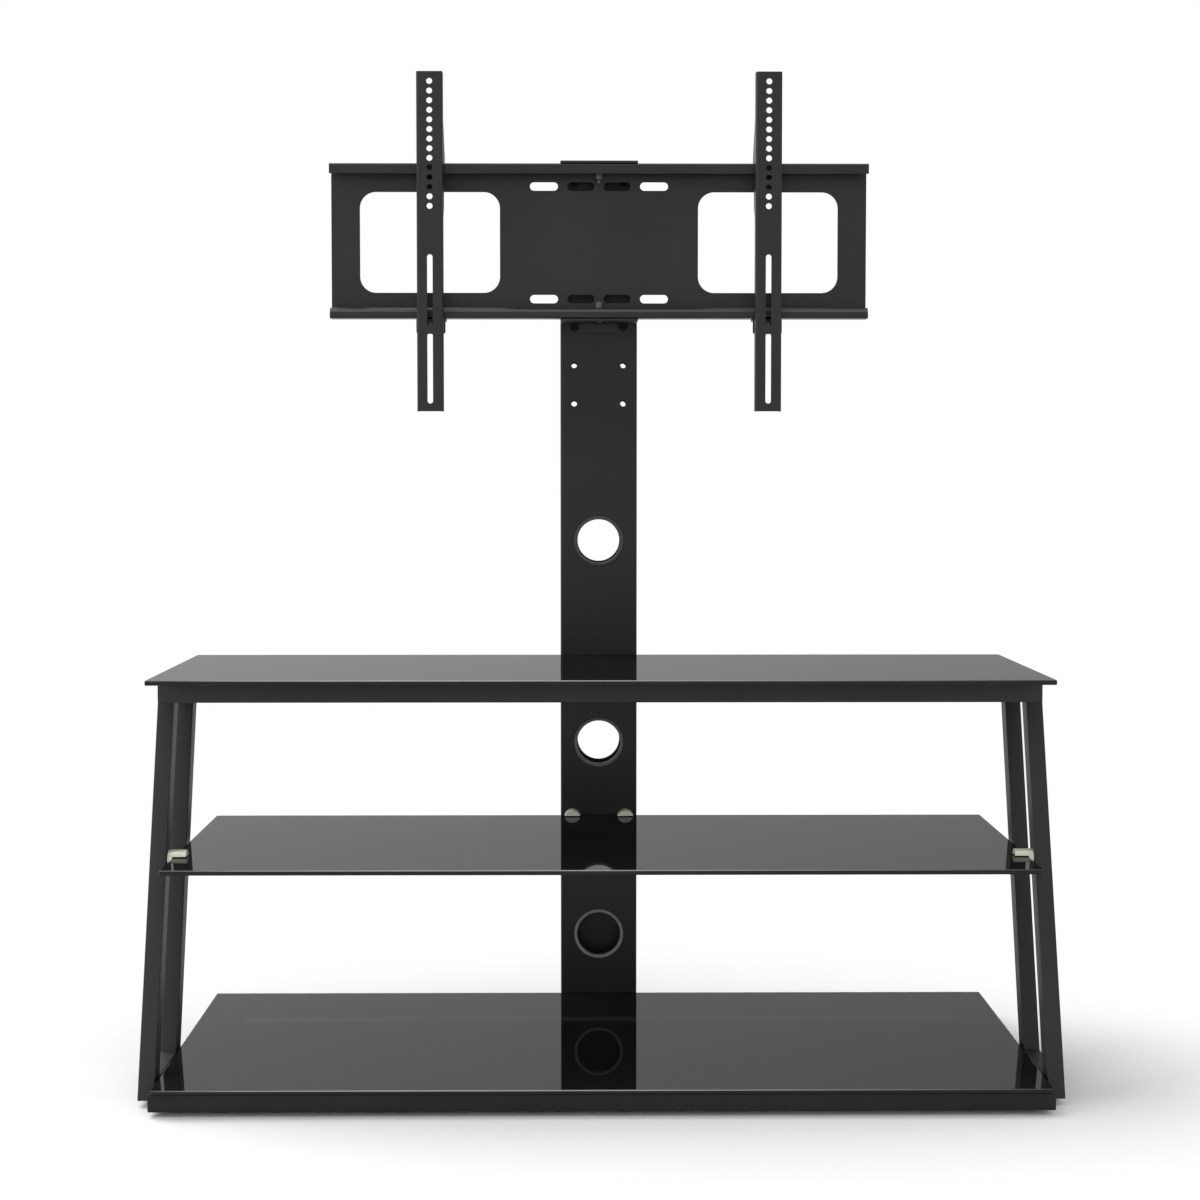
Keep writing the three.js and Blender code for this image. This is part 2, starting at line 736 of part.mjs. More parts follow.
function swivelHead() {
  const bottom = headBoltHeight - headPlateBelow;
  const back = block(-headPlateWidth * half, headPlateWidth * half, headPlateFront, fitGap, bottom,
    upperEarBottom + earThickness);
  const bracket = join(back, ear(upperEarBottom), ear(lowerEarBottom));
  const holes = [];
  for (const height of [headBoltHeight, headBoltHeight + headBoltSpacing]) {
    for (const [, side] of sides) {
      holes.push(barForward(side * headBoltOffset, height, headBoltHole * half, -cutOverrun,
        headPlateFront + cutOverrun, holeSides));
    }
  }
  add('swivel_bracket', cut(bracket, ...holes), 'platePaint');
}

// Socket-head bolts that hold the bracket; the shank stops at the column so that the head can slide
function headBolts() {
  const levels = [['lower', headBoltHeight], ['upper', headBoltHeight + headBoltSpacing]];
  for (const [level, height] of levels) {
    for (const [name, side] of sides) {
      const x = side * headBoltOffset;
      const seat = headPlateFront + fitGap;
      const socketEnd = seat + headBoltHeadHeight * half;
      const headFront = seat + headBoltHeadHeight;
      const shank = barForward(x, height, headBoltDiameter * half, fitGap, socketEnd);
      const head = barForward(x, height, headBoltHead * half, seat, headFront);
      const socket = barForward(x, height, headBoltSocket * half, socketEnd, headFront + cutOverrun,
        socketSides);
      add(`${level}_${name}_head_bolt`, cut(join(shank, head), socket), 'blackBolt');
    }
  }
}

// Pivot bolts, with their heads inside the mount plate. A reach is the length of a shank.
const upperReach = fitGap + plateSheet + earClearance + earThickness;
const lowerReach = upperReach + lowerPivotStub;

function pivotBolts() {
  const shank = pivotShank * half;
  const upperSeat = plateTop - plateSheet - fitGap;
  const upperBody = upperPivotDiameter * half;
  const upperEnd = -upperReach - upperPivotLength;
  const upper = [
    [0, 0],
    [shank, 0],
    [shank, -upperReach],
    [upperBody, -upperReach],
    [upperBody, upperEnd + pivotEndBevel],
    [upperBody - pivotEndBevel, upperEnd],
    [upperPivotTip * half, upperEnd],
    [upperPivotTip * half, upperEnd - upperPivotTipLength],
    [0, upperEnd - upperPivotTipLength],
  ];
  add('upper_pivot_bolt', pivotTurned(upper.reverse(), upperSeat + upperReach), 'zincBolt');
  const lowerSeat = plateBottom + plateSheet + fitGap;
  const lowerBody = lowerPivotDiameter * half;
  const lowerEnd = lowerReach + lowerPivotLength;
  const lower = [
    [0, 0],
    [shank - pivotEndBevel * half, 0],
    [shank, pivotEndBevel * half],
    [shank, lowerReach],
    [lowerBody, lowerReach],
    [lowerBody, lowerEnd - pivotEndBevel],
    [lowerBody - pivotEndBevel, lowerEnd],
    [0, lowerEnd],
  ];
  add('lower_pivot_bolt', pivotTurned(lower, lowerSeat - lowerReach), 'zincBolt');
}

function pivotTurned(profile, height) {
  return turned(profile, smallRoundSides).rotateX(Math.PI * half).translate(0, -pivotForward, height);
}

// Mount plate: a folded channel with return lips, cut with windows and slots
function plateOutline() {
  const back = -plateWebBack;
  const front = -plateLipFront;
  const inside = front + plateSheet;
  const webFace = back - plateSheet;
  const roll = bottomLipRoll;
  const rollSheet = plateSheet * Math.SQRT1_2;
  const bend = plateBendRadius;
  const lipTop = plateBottom + bottomLipHeight;
  const sheetRun = plateSheet * (Math.SQRT2 - 1);
  const shape = new THREE.Shape();
  shape.moveTo(back - bend, plateBottom);
  shape.lineTo(back, plateBottom + bend);
  shape.lineTo(back, plateTop - bend);
  shape.lineTo(back - bend, plateTop);
  shape.lineTo(front + bend, plateTop);
  shape.lineTo(front, plateTop - bend);
  shape.lineTo(front, plateTop - topLipHeight);
  shape.lineTo(inside, plateTop - topLipHeight);
  shape.lineTo(inside, plateTop - plateSheet);
  shape.lineTo(webFace, plateTop - plateSheet);
  shape.lineTo(webFace, plateBottom + plateSheet);
  shape.lineTo(inside, plateBottom + plateSheet);
  shape.lineTo(inside, lipTop - sheetRun);
  shape.lineTo(front + roll + rollSheet, lipTop + roll - rollSheet);
  shape.lineTo(front + roll, lipTop + roll);
  shape.lineTo(front, lipTop);
  shape.lineTo(front, plateBottom + bend);
  shape.lineTo(front + bend, plateBottom);
  shape.closePath();
  return shape;
}

function plateCutter(left, right, bottom, top, radius) {
  const outline = roundedRectangle(right - left, top - bottom, radius,
    (left + right) * half, (bottom + top) * half);
  return towardsFront(outline, plateWebBack - cutOverrun, plateSheet + cutOverrun + cutOverrun);
}

function mountPlate() {
  const channel = alongX(plateOutline(), -plateWidth * half, plateWidth);
  const cutters = [];
  const slotEnd = slotHeight * half - slotEndFlat;
  const slots = [[innerSlotStart, innerSlotLength], [outerSlotStart, outerSlotLength]];
  for (const [, side] of sides) {
    const span = (near, far) => (side > 0 ? [near, far] : [-far, -near]);
    cutters.push(plateCutter(...span(windowInner, windowOuter), windowBottom, windowTop, windowCorner));
    for (const centre of [plateBottom + slotRowInset, plateTop - slotRowInset]) {
      const [bottom, top] = [centre - slotHeight * half, centre + slotHeight * half];
      for (const [start, length] of slots) {
        cutters.push(plateCutter(...span(start, start + length), bottom, top, slotEnd));
      }
    }
  }
  cutters.push(barUp(0, pivotForward, pivotHole * half, plateBottom - cutOverrun, plateTop + cutOverrun,
    holeSides));
  add('mount_plate', cut(channel, ...cutters), 'platePaint');
}

// Screen arm: a channel with holes and slots in its face. Its side wings hook over the plate's
// top edge and lie behind the plate's top lip.
function armSection(x) {
  const outer = armWidth * half;
  const inner = outer - armSheet;
  const back = armFlangeDepth;
  const shape = new THREE.Shape();
  shape.moveTo(x - outer, 0);
  shape.lineTo(x - outer, armBendRadius - back);
  shape.lineTo(x - outer + armBendRadius, -back);
  shape.lineTo(x + outer - armBendRadius, -back);
  shape.lineTo(x + outer, armBendRadius - back);
  shape.lineTo(x + outer, 0);
  shape.lineTo(x + inner, 0);
  shape.lineTo(x + inner, armSheet - back);
  shape.lineTo(x - inner, armSheet - back);
  shape.lineTo(x - inner, 0);
  shape.closePath();
  return shape;
}

// Outline of one hooked wing, drawn in (Y, Z)
function wingOutline() {
  const flangeBack = -(armFront - armFlangeDepth);
  const root = flangeBack - armFlangeDepth * half;
  const seat = plateTop + hookSeatGap;
  const toothFront = hookToothGap - plateWebBack;
  const toothBack = toothFront + hookToothThickness;
  const toothBottom = plateTop - hookToothDepth;
  const lipClear = flangeBack;
  const spacerBack = flangeBack + spacerDepth;
  const spacerTop = plateTop - topLipHeight - spacerTopGap;
  const shape = new THREE.Shape();
  shape.moveTo(root, spacerTop - spacerLength);
  shape.lineTo(lipClear, spacerTop - spacerLength);
  shape.lineTo(spacerBack, spacerTop - spacerLength + spacerDepth);
  shape.lineTo(spacerBack, spacerTop);
  shape.lineTo(lipClear, spacerTop);
  shape.lineTo(lipClear, seat);
  shape.lineTo(toothFront, seat);
  shape.lineTo(toothFront, toothBottom);
  shape.lineTo(toothBack, toothBottom);
  shape.lineTo(toothBack, seat + hookRise - hookToothThickness);
  shape.lineTo(toothBack - hookToothThickness, seat + hookRise);
  shape.lineTo(lipClear, seat + hookAbovePlate);
  shape.lineTo(root, seat + hookAbovePlate);
  shape.closePath();
  return shape;
}

function screenArm(side) {
  const x = side * armSpread;
  const channel = extrude(armSection(x), armLength).translate(0, armFlangeDepth - armFront, armBottom);
  const wings = [-1, 1].map((edge) => {
    const outside = x + edge * armWidth * half;
    return alongX(wingOutline(), Math.min(outside, outside - edge * armSheet), armSheet);
  });
  const cutters = [];
  const faceBack = armFront - armSheet - cutOverrun;
  for (let index = 0; index < armHoleCount; index += 1) {
    const height = armBottom + armLength - armTopHoleInset - index * armHolePitch;
    cutters.push(barForward(x, height, armHoleDiameter * half, faceBack, armFront + cutOverrun, holeSides));
  }
  for (const [start, length] of [[lowerSlotStart, lowerSlotLength], [upperSlotStart, upperSlotLength]]) {
    const middle = armBottom + start + length * half;
    const outline = roundedRectangle(armSlotWidth, length, armSlotWidth * half - slotEndFlat, x, middle);
    cutters.push(towardsFront(outline, faceBack, armSheet + cutOverrun + cutOverrun));
  }
  return cut(join(channel, ...wings), ...cutters);
}

// Lower hook bracket: front wall behind the arm, a shelf under the plate and a tooth behind the web
function catchOutline() {
  const front = -(armFront - armFlangeDepth) + fitGap;
  const shelfTop = plateBottom - catchShelfGap;
  const toothFront = catchToothGap - plateWebBack;
  const shape = new THREE.Shape();
  shape.moveTo(front, catchBottom);
  shape.lineTo(front + catchSheet, catchBottom);
  shape.lineTo(front + catchSheet, shelfTop - catchSheet);
  shape.lineTo(toothFront + catchSheet, shelfTop - catchSheet);
  shape.lineTo(toothFront + catchSheet, shelfTop + catchToothHeight);
  shape.lineTo(toothFront, shelfTop + catchToothHeight);
  shape.lineTo(toothFront, shelfTop);
  shape.lineTo(front, shelfTop);
  shape.closePath();
  return shape;
}

function lowerHook(side) {
  const x = side * armSpread;
  const bracket = alongX(catchOutline(), x - catchWidth * half, catchWidth);
  const wallBack = armFront - armFlangeDepth - fitGap - catchSheet;
  const hole = barForward(x, lockScrewHeight, lockScrewShank * half + fitGap, wallBack - cutOverrun,
    wallBack + catchSheet + cutOverrun, holeSides);
  const corners = [-1, 1].map((edge) => {
    const corner = new THREE.Shape();
    const outside = x + edge * (catchWidth * half + catchCorner);
    corner.moveTo(outside, catchBottom - catchCorner);
    corner.lineTo(outside, catchBottom + catchCorner + catchCorner);
    corner.lineTo(outside - edge * (catchCorner + catchCorner + catchCorner), catchBottom - catchCorner);
    corner.closePath();
    return towardsFront(corner, wallBack - cutOverrun, catchSheet + cutOverrun + cutOverrun);
  });
  return cut(bracket, hole, ...corners);
}

function lockScrew(side) {
  const x = side * armSpread;
  const headFront = armFront - lockScrewInset;
  const headBack = headFront - lockScrewHeadLength;
  const wallBack = armFront - armFlangeDepth - fitGap - catchSheet;
  const headRadius = lockScrewHead * half;
  const head = barForward(x, lockScrewHeight, headRadius, headBack, headFront);
  const shank = barForward(x, lockScrewHeight, lockScrewShank * half, wallBack - catchSheet,
    headBack + fitGap);
  const socket = barForward(x, lockScrewHeight, headRadius * lockScrewHexShare,
    headFront - catchSheet, headFront + cutOverrun, socketSides);
  return cut(join(head, shank), socket);
}

function screenArms() {
  for (const [name, side] of sides) {
    add(`${name}_screen_arm`, screenArm(side), 'armPaint');
    add(`${name}_lower_hook`, lowerHook(side), 'armPaint');
    add(`${name}_lock_screw`, lockScrew(side), 'zincBolt');
  }
}

sideFrames();
topRails();
baseFrame();
glides();
shelves();
pads();
clamps();
column();
columnEnds();
cableRings();
tieBolts();
swivelHead();
headBolts();
pivotBolts();
mountPlate();
screenArms();

// The origin is the middle of the footprint, on the floor
stand.position.set(0, (frontMost + rearMost) * half, -glideBottom);
const product = new THREE.Group();
product.add(stand);

export default product;
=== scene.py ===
import math

import bmesh
import bpy
from mathutils import Matrix, Vector


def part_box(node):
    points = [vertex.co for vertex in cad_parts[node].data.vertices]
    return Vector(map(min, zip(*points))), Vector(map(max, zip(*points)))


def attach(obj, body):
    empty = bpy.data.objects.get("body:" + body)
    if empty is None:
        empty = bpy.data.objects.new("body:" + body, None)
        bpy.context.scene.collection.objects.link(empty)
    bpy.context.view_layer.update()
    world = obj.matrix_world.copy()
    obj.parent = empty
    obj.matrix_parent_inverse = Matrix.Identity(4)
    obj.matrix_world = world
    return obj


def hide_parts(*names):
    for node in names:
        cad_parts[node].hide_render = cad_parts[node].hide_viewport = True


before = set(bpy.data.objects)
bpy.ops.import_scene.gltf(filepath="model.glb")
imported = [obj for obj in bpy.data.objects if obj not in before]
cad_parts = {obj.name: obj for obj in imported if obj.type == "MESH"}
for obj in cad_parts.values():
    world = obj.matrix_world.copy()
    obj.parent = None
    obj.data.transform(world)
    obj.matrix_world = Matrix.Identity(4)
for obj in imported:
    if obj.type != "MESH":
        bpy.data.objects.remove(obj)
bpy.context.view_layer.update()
print("stage: frame loaded,", len(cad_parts), "nodes")

# Sizes below are in millimetres. "Forward" is measured from the front face of the column
# towards the viewer; x is to the right; z is up, from the level that the glides lift off the floor.
mm = 0.001
columnFace = 0.2314
glideLift = 7
sides = (("left", -1), ("right", 1))


def at(x, forward, z):
    return Vector((x * mm, columnFace - forward * mm, (z + glideLift) * mm))


# Ways to lay an outline (u, v) and its length w into the room
def alongX(forward, z, x):
    return at(x, forward, z)


def alongForward(x, z, forward):
    return at(x, forward, z)


def alongZ(x, forward, z):
    return at(x, forward, z)


# Limits of a solid
def spanOf(node):
    low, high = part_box(node)
    return {
        "left": low.x / mm, "right": high.x / mm,
        "back": (columnFace - high.y) / mm, "front": (columnFace - low.y) / mm,
        "bottom": low.z / mm - glideLift, "top": high.z / mm - glideLift,
    }


def middleOf(span):
    return (span["left"] + span["right"]) / 2, (span["front"] + span["back"]) / 2


# Outlines

def rectangle(left, right, low, high):
    return [(left, low), (right, low), (right, high), (left, high)]


def roundRect(width, height, radius, steps=6, middle=(0, 0)):
    points = []
    corners = ((1, 1, 0), (-1, 1, 90), (-1, -1, 180), (1, -1, 270))
    for signU, signV, start in corners:
        for step in range(steps + 1):
            angle = math.radians(start + 90 * step / steps)
            points.append((
                middle[0] + signU * (width / 2 - radius) + radius * math.cos(angle),
                middle[1] + signV * (height / 2 - radius) + radius * math.sin(angle),
            ))
    return points


# Rounded rectangle from its limits, or set in from them
def roundRectWithin(left, right, low, high, radius, steps=6, inset=0):
    return roundRect(right - left - 2 * inset, high - low - 2 * inset, radius - inset, steps,
                     ((left + right) / 2, (low + high) / 2))


# Slot with round ends, which a short flat keeps a hair apart
def oblong(width, height, middle, endFlat=0.05):
    return roundRect(width, height, min(width, height) / 2 - endFlat, 8, middle)


def circle(radius, steps=32, middle=(0, 0)):
    return [
        (middle[0] + radius * math.cos(math.tau * i / steps),
         middle[1] + radius * math.sin(math.tau * i / steps))
        for i in range(steps)
    ]


def hexagon(acrossFlats, steps=24, middle=(0, 0)):
    points = []
    for i in range(steps):
        angle = math.tau * i / steps
        fromFlat = (angle + math.pi / 6) % (math.pi / 3) - math.pi / 6
        reach = acrossFlats / 2 / math.cos(fromFlat)
        points.append((middle[0] + reach * math.cos(angle), middle[1] + reach * math.sin(angle)))
    return points


# Closed outline of a folded sheet: the path is its middle line, each corner becomes a round bend
def foldedSheet(path, sheet, bend, steps=6):
    line = []
    for i, corner in enumerate(path):
        here = Vector(corner)
        if i == 0 or i == len(path) - 1:
            other = Vector(path[1] if i == 0 else path[-2])
            run = (other - here if i == 0 else here - other).normalized()
            line.append((here, Vector((-run.y, run.x))))
            continue
        before = (here - Vector(path[i - 1])).normalized()
        after = (Vector(path[i + 1]) - here).normalized()
        turn = math.atan2(before.x * after.y - before.y * after.x, before.dot(after))
        side = 1 if turn > 0 else -1
        square = Vector((-before.y, before.x))
        start = here - before * bend * math.tan(abs(turn) / 2)
        centre = start + square * side * bend
        for step in range(steps + 1):
            out = Matrix.Rotation(turn * step / steps, 2) @ square
            line.append((centre - out * side * bend, out))
    near = [tuple(point + out * sheet / 2) for point, out in line]
    far = [tuple(point - out * sheet / 2) for point, out in reversed(line)]
    return near + far


# Meshes

# Skins a row of loops. This and the next three add a body to a mesh and hand the mesh back
def skin(bm, loops, around=False):
    rows = [[bm.verts.new(point) for point in loop] for loop in loops]
    pairs = list(zip(rows, rows[1:]))
    if around:
        pairs.append((rows[-1], rows[0]))
    for low, high in pairs:
        for i in range(len(low)):
            j = (i + 1) % len(low)
            bm.faces.new((low[i], low[j], high[j], high[i]))
    if not around:
        bm.faces.new(rows[0][::-1])
        bm.faces.new(rows[-1])
    return bm


def prism(bm, outline, lay, start, end):
    return skin(bm, [[lay(u, v, w) for u, v in outline] for w in (start, end)])


def layered(bm, layers, lay):
    return skin(bm, [[lay(u, v, w) for u, v in outline] for outline, w in layers])


# Turned piece: rows of (radius, height) round an axis
def turned(bm, profile, lay, middle=(0, 0), steps=32, closed=False):
    loops = [[lay(u, v, w) for u, v in circle(max(radius, 0.01), steps, middle)] for radius, w in profile]
    return skin(bm, loops, around=closed)


# Pieces

# left_front_leg becomes leftFrontLeg
def camel(words):
    first, *others = words.split("_")
    return first + "".join(word.capitalize() for word in others)


def toPiece(name, bm):
    bmesh.ops.recalc_face_normals(bm, faces=bm.faces)
    mesh = bpy.data.meshes.new(name)
    bm.to_mesh(mesh)
    bm.free()
    piece = bpy.data.objects.new(name, mesh)
    bpy.context.scene.collection.objects.link(piece)
    return piece


def settle(piece):
    bpy.context.view_layer.update()
    graph = bpy.context.evaluated_depsgraph_get()
    mesh = bpy.data.meshes.new_from_object(piece.evaluated_get(graph))
    old = piece.data
    piece.modifiers.clear()
    piece.data = mesh
    bpy.data.meshes.remove(old)


def combine(piece, bm, operation):
    tool = toPiece(piece.name + "Tool", bm)
    boolean = piece.modifiers.new("combine", "BOOLEAN")
    boolean.operation = operation
    boolean.solver = "EXACT"
    boolean.object = tool
    settle(piece)
    bpy.data.objects.remove(tool)


def softenEdges(piece, width, segments=2, angle=30):
    for polygon in piece.data.polygons:
        polygon.use_smooth = True
    bevel = piece.modifiers.new("edges", "BEVEL")
    bevel.width = width * mm
    bevel.segments = segments
    bevel.limit_method = "ANGLE"
    bevel.angle_limit = math.radians(angle)
    bevel.use_clamp_overlap = False
    bevel.miter_outer = "MITER_ARC"
    even = piece.modifiers.new("even", "WEIGHTED_NORMAL")
    even.weight = 80
    even.keep_sharp = False
    settle(piece)


def smooth(piece, angle):
    for polygon in piece.data.polygons:
        polygon.use_smooth = True
    piece.data.set_sharp_from_angle(angle=math.radians(angle))


def place(piece, body, finish, node):
    piece.data.materials.clear()
    piece.data.materials.append(finishes[finish])
    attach(piece, body)
    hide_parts(node)
    return piece


# Smooth piece in the place of a node, on its body
def addSmooth(node, bm, body, finish, angle=35, name=None):
    piece = toPiece(name or camel(node), bm)
    smooth(piece, angle)
    return place(piece, body, finish, node)


# Finishes

# Each input gets the number or colour given for it, or a link from the socket given for it
def setInputs(tree, node, inputs):
    for key, value in inputs.items():
        if isinstance(value, bpy.types.NodeSocket):
            tree.links.new(value, node.inputs[key])
        else:
            node.inputs[key].default_value = value
    return node


def addNode(tree, kind, inputs=None, **settings):
    node = tree.nodes.new(kind)
    for key, value in settings.items():
        setattr(node, key, value)
    return setInputs(tree, node, inputs or {})


def newFinish(name):
    material = bpy.data.materials.new(name)
    material.use_nodes = True
    return material, material.node_tree, material.node_tree.nodes["Principled BSDF"]


def grain(tree, scale, detail, stretch=None):
    where = addNode(tree, "ShaderNodeTexCoord").outputs["Object"]
    if stretch:
        where = addNode(tree, "ShaderNodeMapping", {"Vector": where, "Scale": stretch}).outputs["Vector"]
    return addNode(tree, "ShaderNodeTexNoise",
                   {"Vector": where, "Scale": scale, "Detail": detail}).outputs["Fac"]


# Place on the piece, as X, Y and Z
def apart(tree):
    where = addNode(tree, "ShaderNodeTexCoord").outputs["Object"]
    return addNode(tree, "ShaderNodeSeparateXYZ", {"Vector": where}).outputs


def between(tree, source, low, high, fromLow=0.3, fromHigh=0.7, **settings):
    return addNode(tree, "ShaderNodeMapRange", {
        "Value": source, "From Min": fromLow, "From Max": fromHigh, "To Min": low, "To Max": high,
    }, **settings).outputs["Result"]


def toned(tree, source, stops):
    ramp = addNode(tree, "ShaderNodeValToRGB", {"Fac": source})
    elements = ramp.color_ramp.elements
    while len(elements) < len(stops):
        elements.new(0.5)
    for element, (position, colour) in zip(elements, stops):
        element.position = position
        element.color = (*colour, 1)
    return ramp.outputs["Color"]


def twoTone(tree, source, dark, light, low=0.35, high=0.65):
    return toned(tree, source, ((low, dark), (high, light)))


def combined(tree, operation, *values, **settings):
    return addNode(tree, "ShaderNodeMath", dict(enumerate(values)), operation=operation,
                   **settings).outputs["Value"]


# Coat, metal, plastic or rubber: a fine grain gives its gloss and relief. Its tone follows the
# same grain, or faint clouds where the look has them.
def textured(name, look):
    material, tree, shader = newFinish(name)
    fine = grain(tree, look["grainScale"], look["grainDetail"], look.get("grainRun"))
    tone = grain(tree, look["cloudScale"], look["cloudDetail"]) if "cloudScale" in look else fine
    relief = addNode(tree, "ShaderNodeBump", {
        "Height": fine, "Strength": look["reliefStrength"], "Distance": look["reliefDepth"],
    })
    setInputs(tree, shader, {
        "Base Color": twoTone(tree, tone, look["dark"], look["light"]),
        "Roughness": between(tree, fine, *look["gloss"]),
        "Specular IOR Level": look["sheen"],
        "Metallic": look.get("metallic", 0),
        "Normal": relief.outputs["Normal"],
    })
    return material


# Painted see-through: a faint light line painted into the smoked glass, where the lit edge of a sheet under
# it would show through
def paintedShowThrough(tree, colour, under):
    spot = apart(tree)
    middle, spread, reach = under["at"], under["spread"], under["reach"]
    behind = between(tree, spot["Y"], 1, 0, middle, middle + spread)
    ahead = between(tree, spot["Y"], 0, 1, middle - spread, middle)
    ends = between(tree, combined(tree, "ABSOLUTE", spot["X"]), 1, 0, reach, reach + under["fade"])
    line = combined(tree, "MULTIPLY", combined(tree, "MINIMUM", behind, ahead), ends)
    return addNode(tree, "ShaderNodeMix", {"Factor": line, "A": colour, "B": (*under["tone"], 1)},
                   data_type="RGBA").outputs["Result"]


# Black float glass: a near-black body under one clear polished surface
def blackGlass(name, look):
    material, tree, shader = newFinish(name)
    dust = grain(tree, look["dustScale"], look["dustDetail"])
    colour = twoTone(tree, dust, look["body"], look["dust"], *look["dustLimits"])
    # painted see-through line where a sheet lies under the glass
    if "under" in look:
        colour = paintedShowThrough(tree, colour, look["under"])
    setInputs(tree, shader, {
        "Base Color": colour, "Roughness": look["bodyRoughness"], "Specular IOR Level": 0.0,
        "Coat Weight": look["clear"], "Coat Roughness": look["polish"], "Coat IOR": look["index"],
    })
    return material


# Ground bevel of a shelf: frosted, with a painted highlight that fades towards the ends of the shelf
def groundGlassAndHighlight(name, look):
    material, tree, shader = newFinish(name)
    speckle = grain(tree, look["speckleScale"], look["speckleDetail"])
    half = look["halfLength"]
    # painted highlight: a tone ramp along the shelf
    along = between(tree, apart(tree)["X"], 0, 1, -half, half)
    stops = [((x + half) / (2 * half), (tone,) * 3) for x, tone in look["stops"]]
    blend = addNode(tree, "ShaderNodeMix", {
        "Factor": 1,
        "A": toned(tree, along, stops),
        "B": twoTone(tree, speckle, (look["speck"],) * 3, (1, 1, 1)),
    }, data_type="RGBA", blend_type="MULTIPLY")
    setInputs(tree, shader, {
        "Base Color": blend.outputs["Result"], "Roughness": between(tree, speckle, *look["gloss"]),
        "Specular IOR Level": look["sheen"],
    })
    return material


frameCoatLook = {
    "dark": (0.0086, 0.0086, 0.0088), "light": (0.0122, 0.0122, 0.0125), "gloss": (0.50, 0.62),
    "sheen": 0.45, "grainScale": 700, "grainDetail": 2.0, "reliefStrength": 0.35,
    "reliefDepth": 0.00012, "cloudScale": 9, "cloudDetail": 4.0,
}
# Painted shade: the frame coat again, made darker for the rails and deck near the floor where less light
# falls; also smoother
frameCoatPaintedShadeLook = {    # the coat near the floor, darker and smoother
    "dark": (0.0050, 0.0050, 0.0052), "light": (0.0080, 0.0080, 0.0082), "gloss": (0.38, 0.52),
    "sheen": 0.28, "grainScale": 700, "grainDetail": 2.0, "reliefStrength": 0.35,
    "reliefDepth": 0.00012, "cloudScale": 9, "cloudDetail": 4.0,
}
columnCoatLook = {
    "dark": (0.0060, 0.0060, 0.0062), "light": (0.0090, 0.0090, 0.0093), "gloss": (0.30, 0.42),
    "sheen": 0.31, "grainScale": 700, "grainDetail": 2.0, "reliefStrength": 0.3,
    "reliefDepth": 0.0001, "cloudScale": 7, "cloudDetail": 4.0,
}
plateCoatLook = {
    "dark": (0.0075, 0.0075, 0.0077), "light": (0.0110, 0.0110, 0.0113), "gloss": (0.34, 0.46),
    "sheen": 0.38, "grainScale": 750, "grainDetail": 2.0, "reliefStrength": 0.3,
    "reliefDepth": 0.0001, "cloudScale": 11, "cloudDetail": 4.0,
}
armCoatLook = {
    "dark": (0.0078, 0.0078, 0.0080), "light": (0.0112, 0.0112, 0.0115), "gloss": (0.38, 0.50),
    "sheen": 0.38, "grainScale": 750, "grainDetail": 2.0, "reliefStrength": 0.35,
    "reliefDepth": 0.00012, "cloudScale": 13, "cloudDetail": 4.0,
}
shelfGlassLook = {
    "body": (0.0085, 0.0085, 0.0092), "dust": (0.0125, 0.0125, 0.0130), "dustScale": 60,
    "dustDetail": 6.0, "dustLimits": (0.45, 0.8), "bodyRoughness": 0.5,
    "clear": 0.42, "polish": 0.012, "index": 1.5,
}
# Painted see-through: the lit front edge of the rear deck is painted into the bottom shelf as a faint light
# line
paintedDeckEdgeLook = {    # front edge of the rear deck, seen through the bottom shelf, in metres
    "at": 0.074, "spread": 0.019, "reach": 0.463, "fade": 0.005, "tone": (0.036, 0.036, 0.037),
}
# Painted highlight on the ground bevel: its tone is set along the shelf, brightest left of the middle and
# dull at both ends, for how the light falls on it
groundEdgeAndHighlightLook = {  # brightest left of the middle, dull at both ends; stops are metres from the middle
    "stops": [(-0.52, 0.05), (-0.43, 0.26), (-0.25, 0.40), (0.0, 0.34), (0.22, 0.23), (0.375, 0.13),
              (0.52, 0.03)],
    "halfLength": 0.55, "speck": 0.85, "gloss": (0.35, 0.5), "sheen": 0.5, "speckleScale": 1500,
    "speckleDetail": 2.0,
}
clampMetalLook = {
    "dark": (0.64, 0.63, 0.52), "light": (0.72, 0.71, 0.60), "gloss": (0.30, 0.38), "metallic": 0.15,
    "sheen": 0.5, "grainScale": 2600, "grainDetail": 4.0, "grainRun": (1, 0.2, 1),
    "reliefStrength": 0.06, "reliefDepth": 0.00005,
}
boltBlackLook = {
    "dark": (0.0025, 0.0025, 0.0025), "light": (0.0045, 0.0045, 0.0048), "gloss": (0.45, 0.6),
    "sheen": 0.12, "grainScale": 1400, "grainDetail": 4.0, "reliefStrength": 0.2,
    "reliefDepth": 0.00005,
}
boltZincLook = {
    "dark": (0.07, 0.07, 0.069), "light": (0.12, 0.12, 0.117), "gloss": (0.36, 0.52), "metallic": 0.9,
    "sheen": 0.5, "grainScale": 1100, "grainDetail": 4.0, "grainRun": (1, 1, 0.3),
    "reliefStrength": 0.2, "reliefDepth": 0.00005,
}
ringPlasticLook = {
    "dark": (0.045, 0.045, 0.045), "light": (0.13, 0.13, 0.13), "gloss": (0.45, 0.7), "sheen": 0.5,
    "grainScale": 900, "grainDetail": 2.0, "reliefStrength": 0.4, "reliefDepth": 0.0001,
    # painted light and shade: each ring has its own copy of the same plastic, scaled by its tone; the upper
    # ring is painted darker and the two rings under the top glass lighter, for the light that falls on each
    "tones": {"upper": 0.46, "middle": 1.5, "lower": 2.6},
}
capPlasticLook = {
    "dark": (0.010, 0.010, 0.010), "light": (0.016, 0.016, 0.016), "gloss": (0.40, 0.55), "sheen": 0.4,
    "grainScale": 800, "grainDetail": 2.0, "reliefStrength": 0.25, "reliefDepth": 0.0001,
}
padRubberLook = {
    "dark": (0.007, 0.007, 0.007), "light": (0.012, 0.012, 0.012), "gloss": (0.60, 0.80), "sheen": 0.35,
    "grainScale": 500, "grainDetail": 2.0, "reliefStrength": 0.3, "reliefDepth": 0.0001,
}

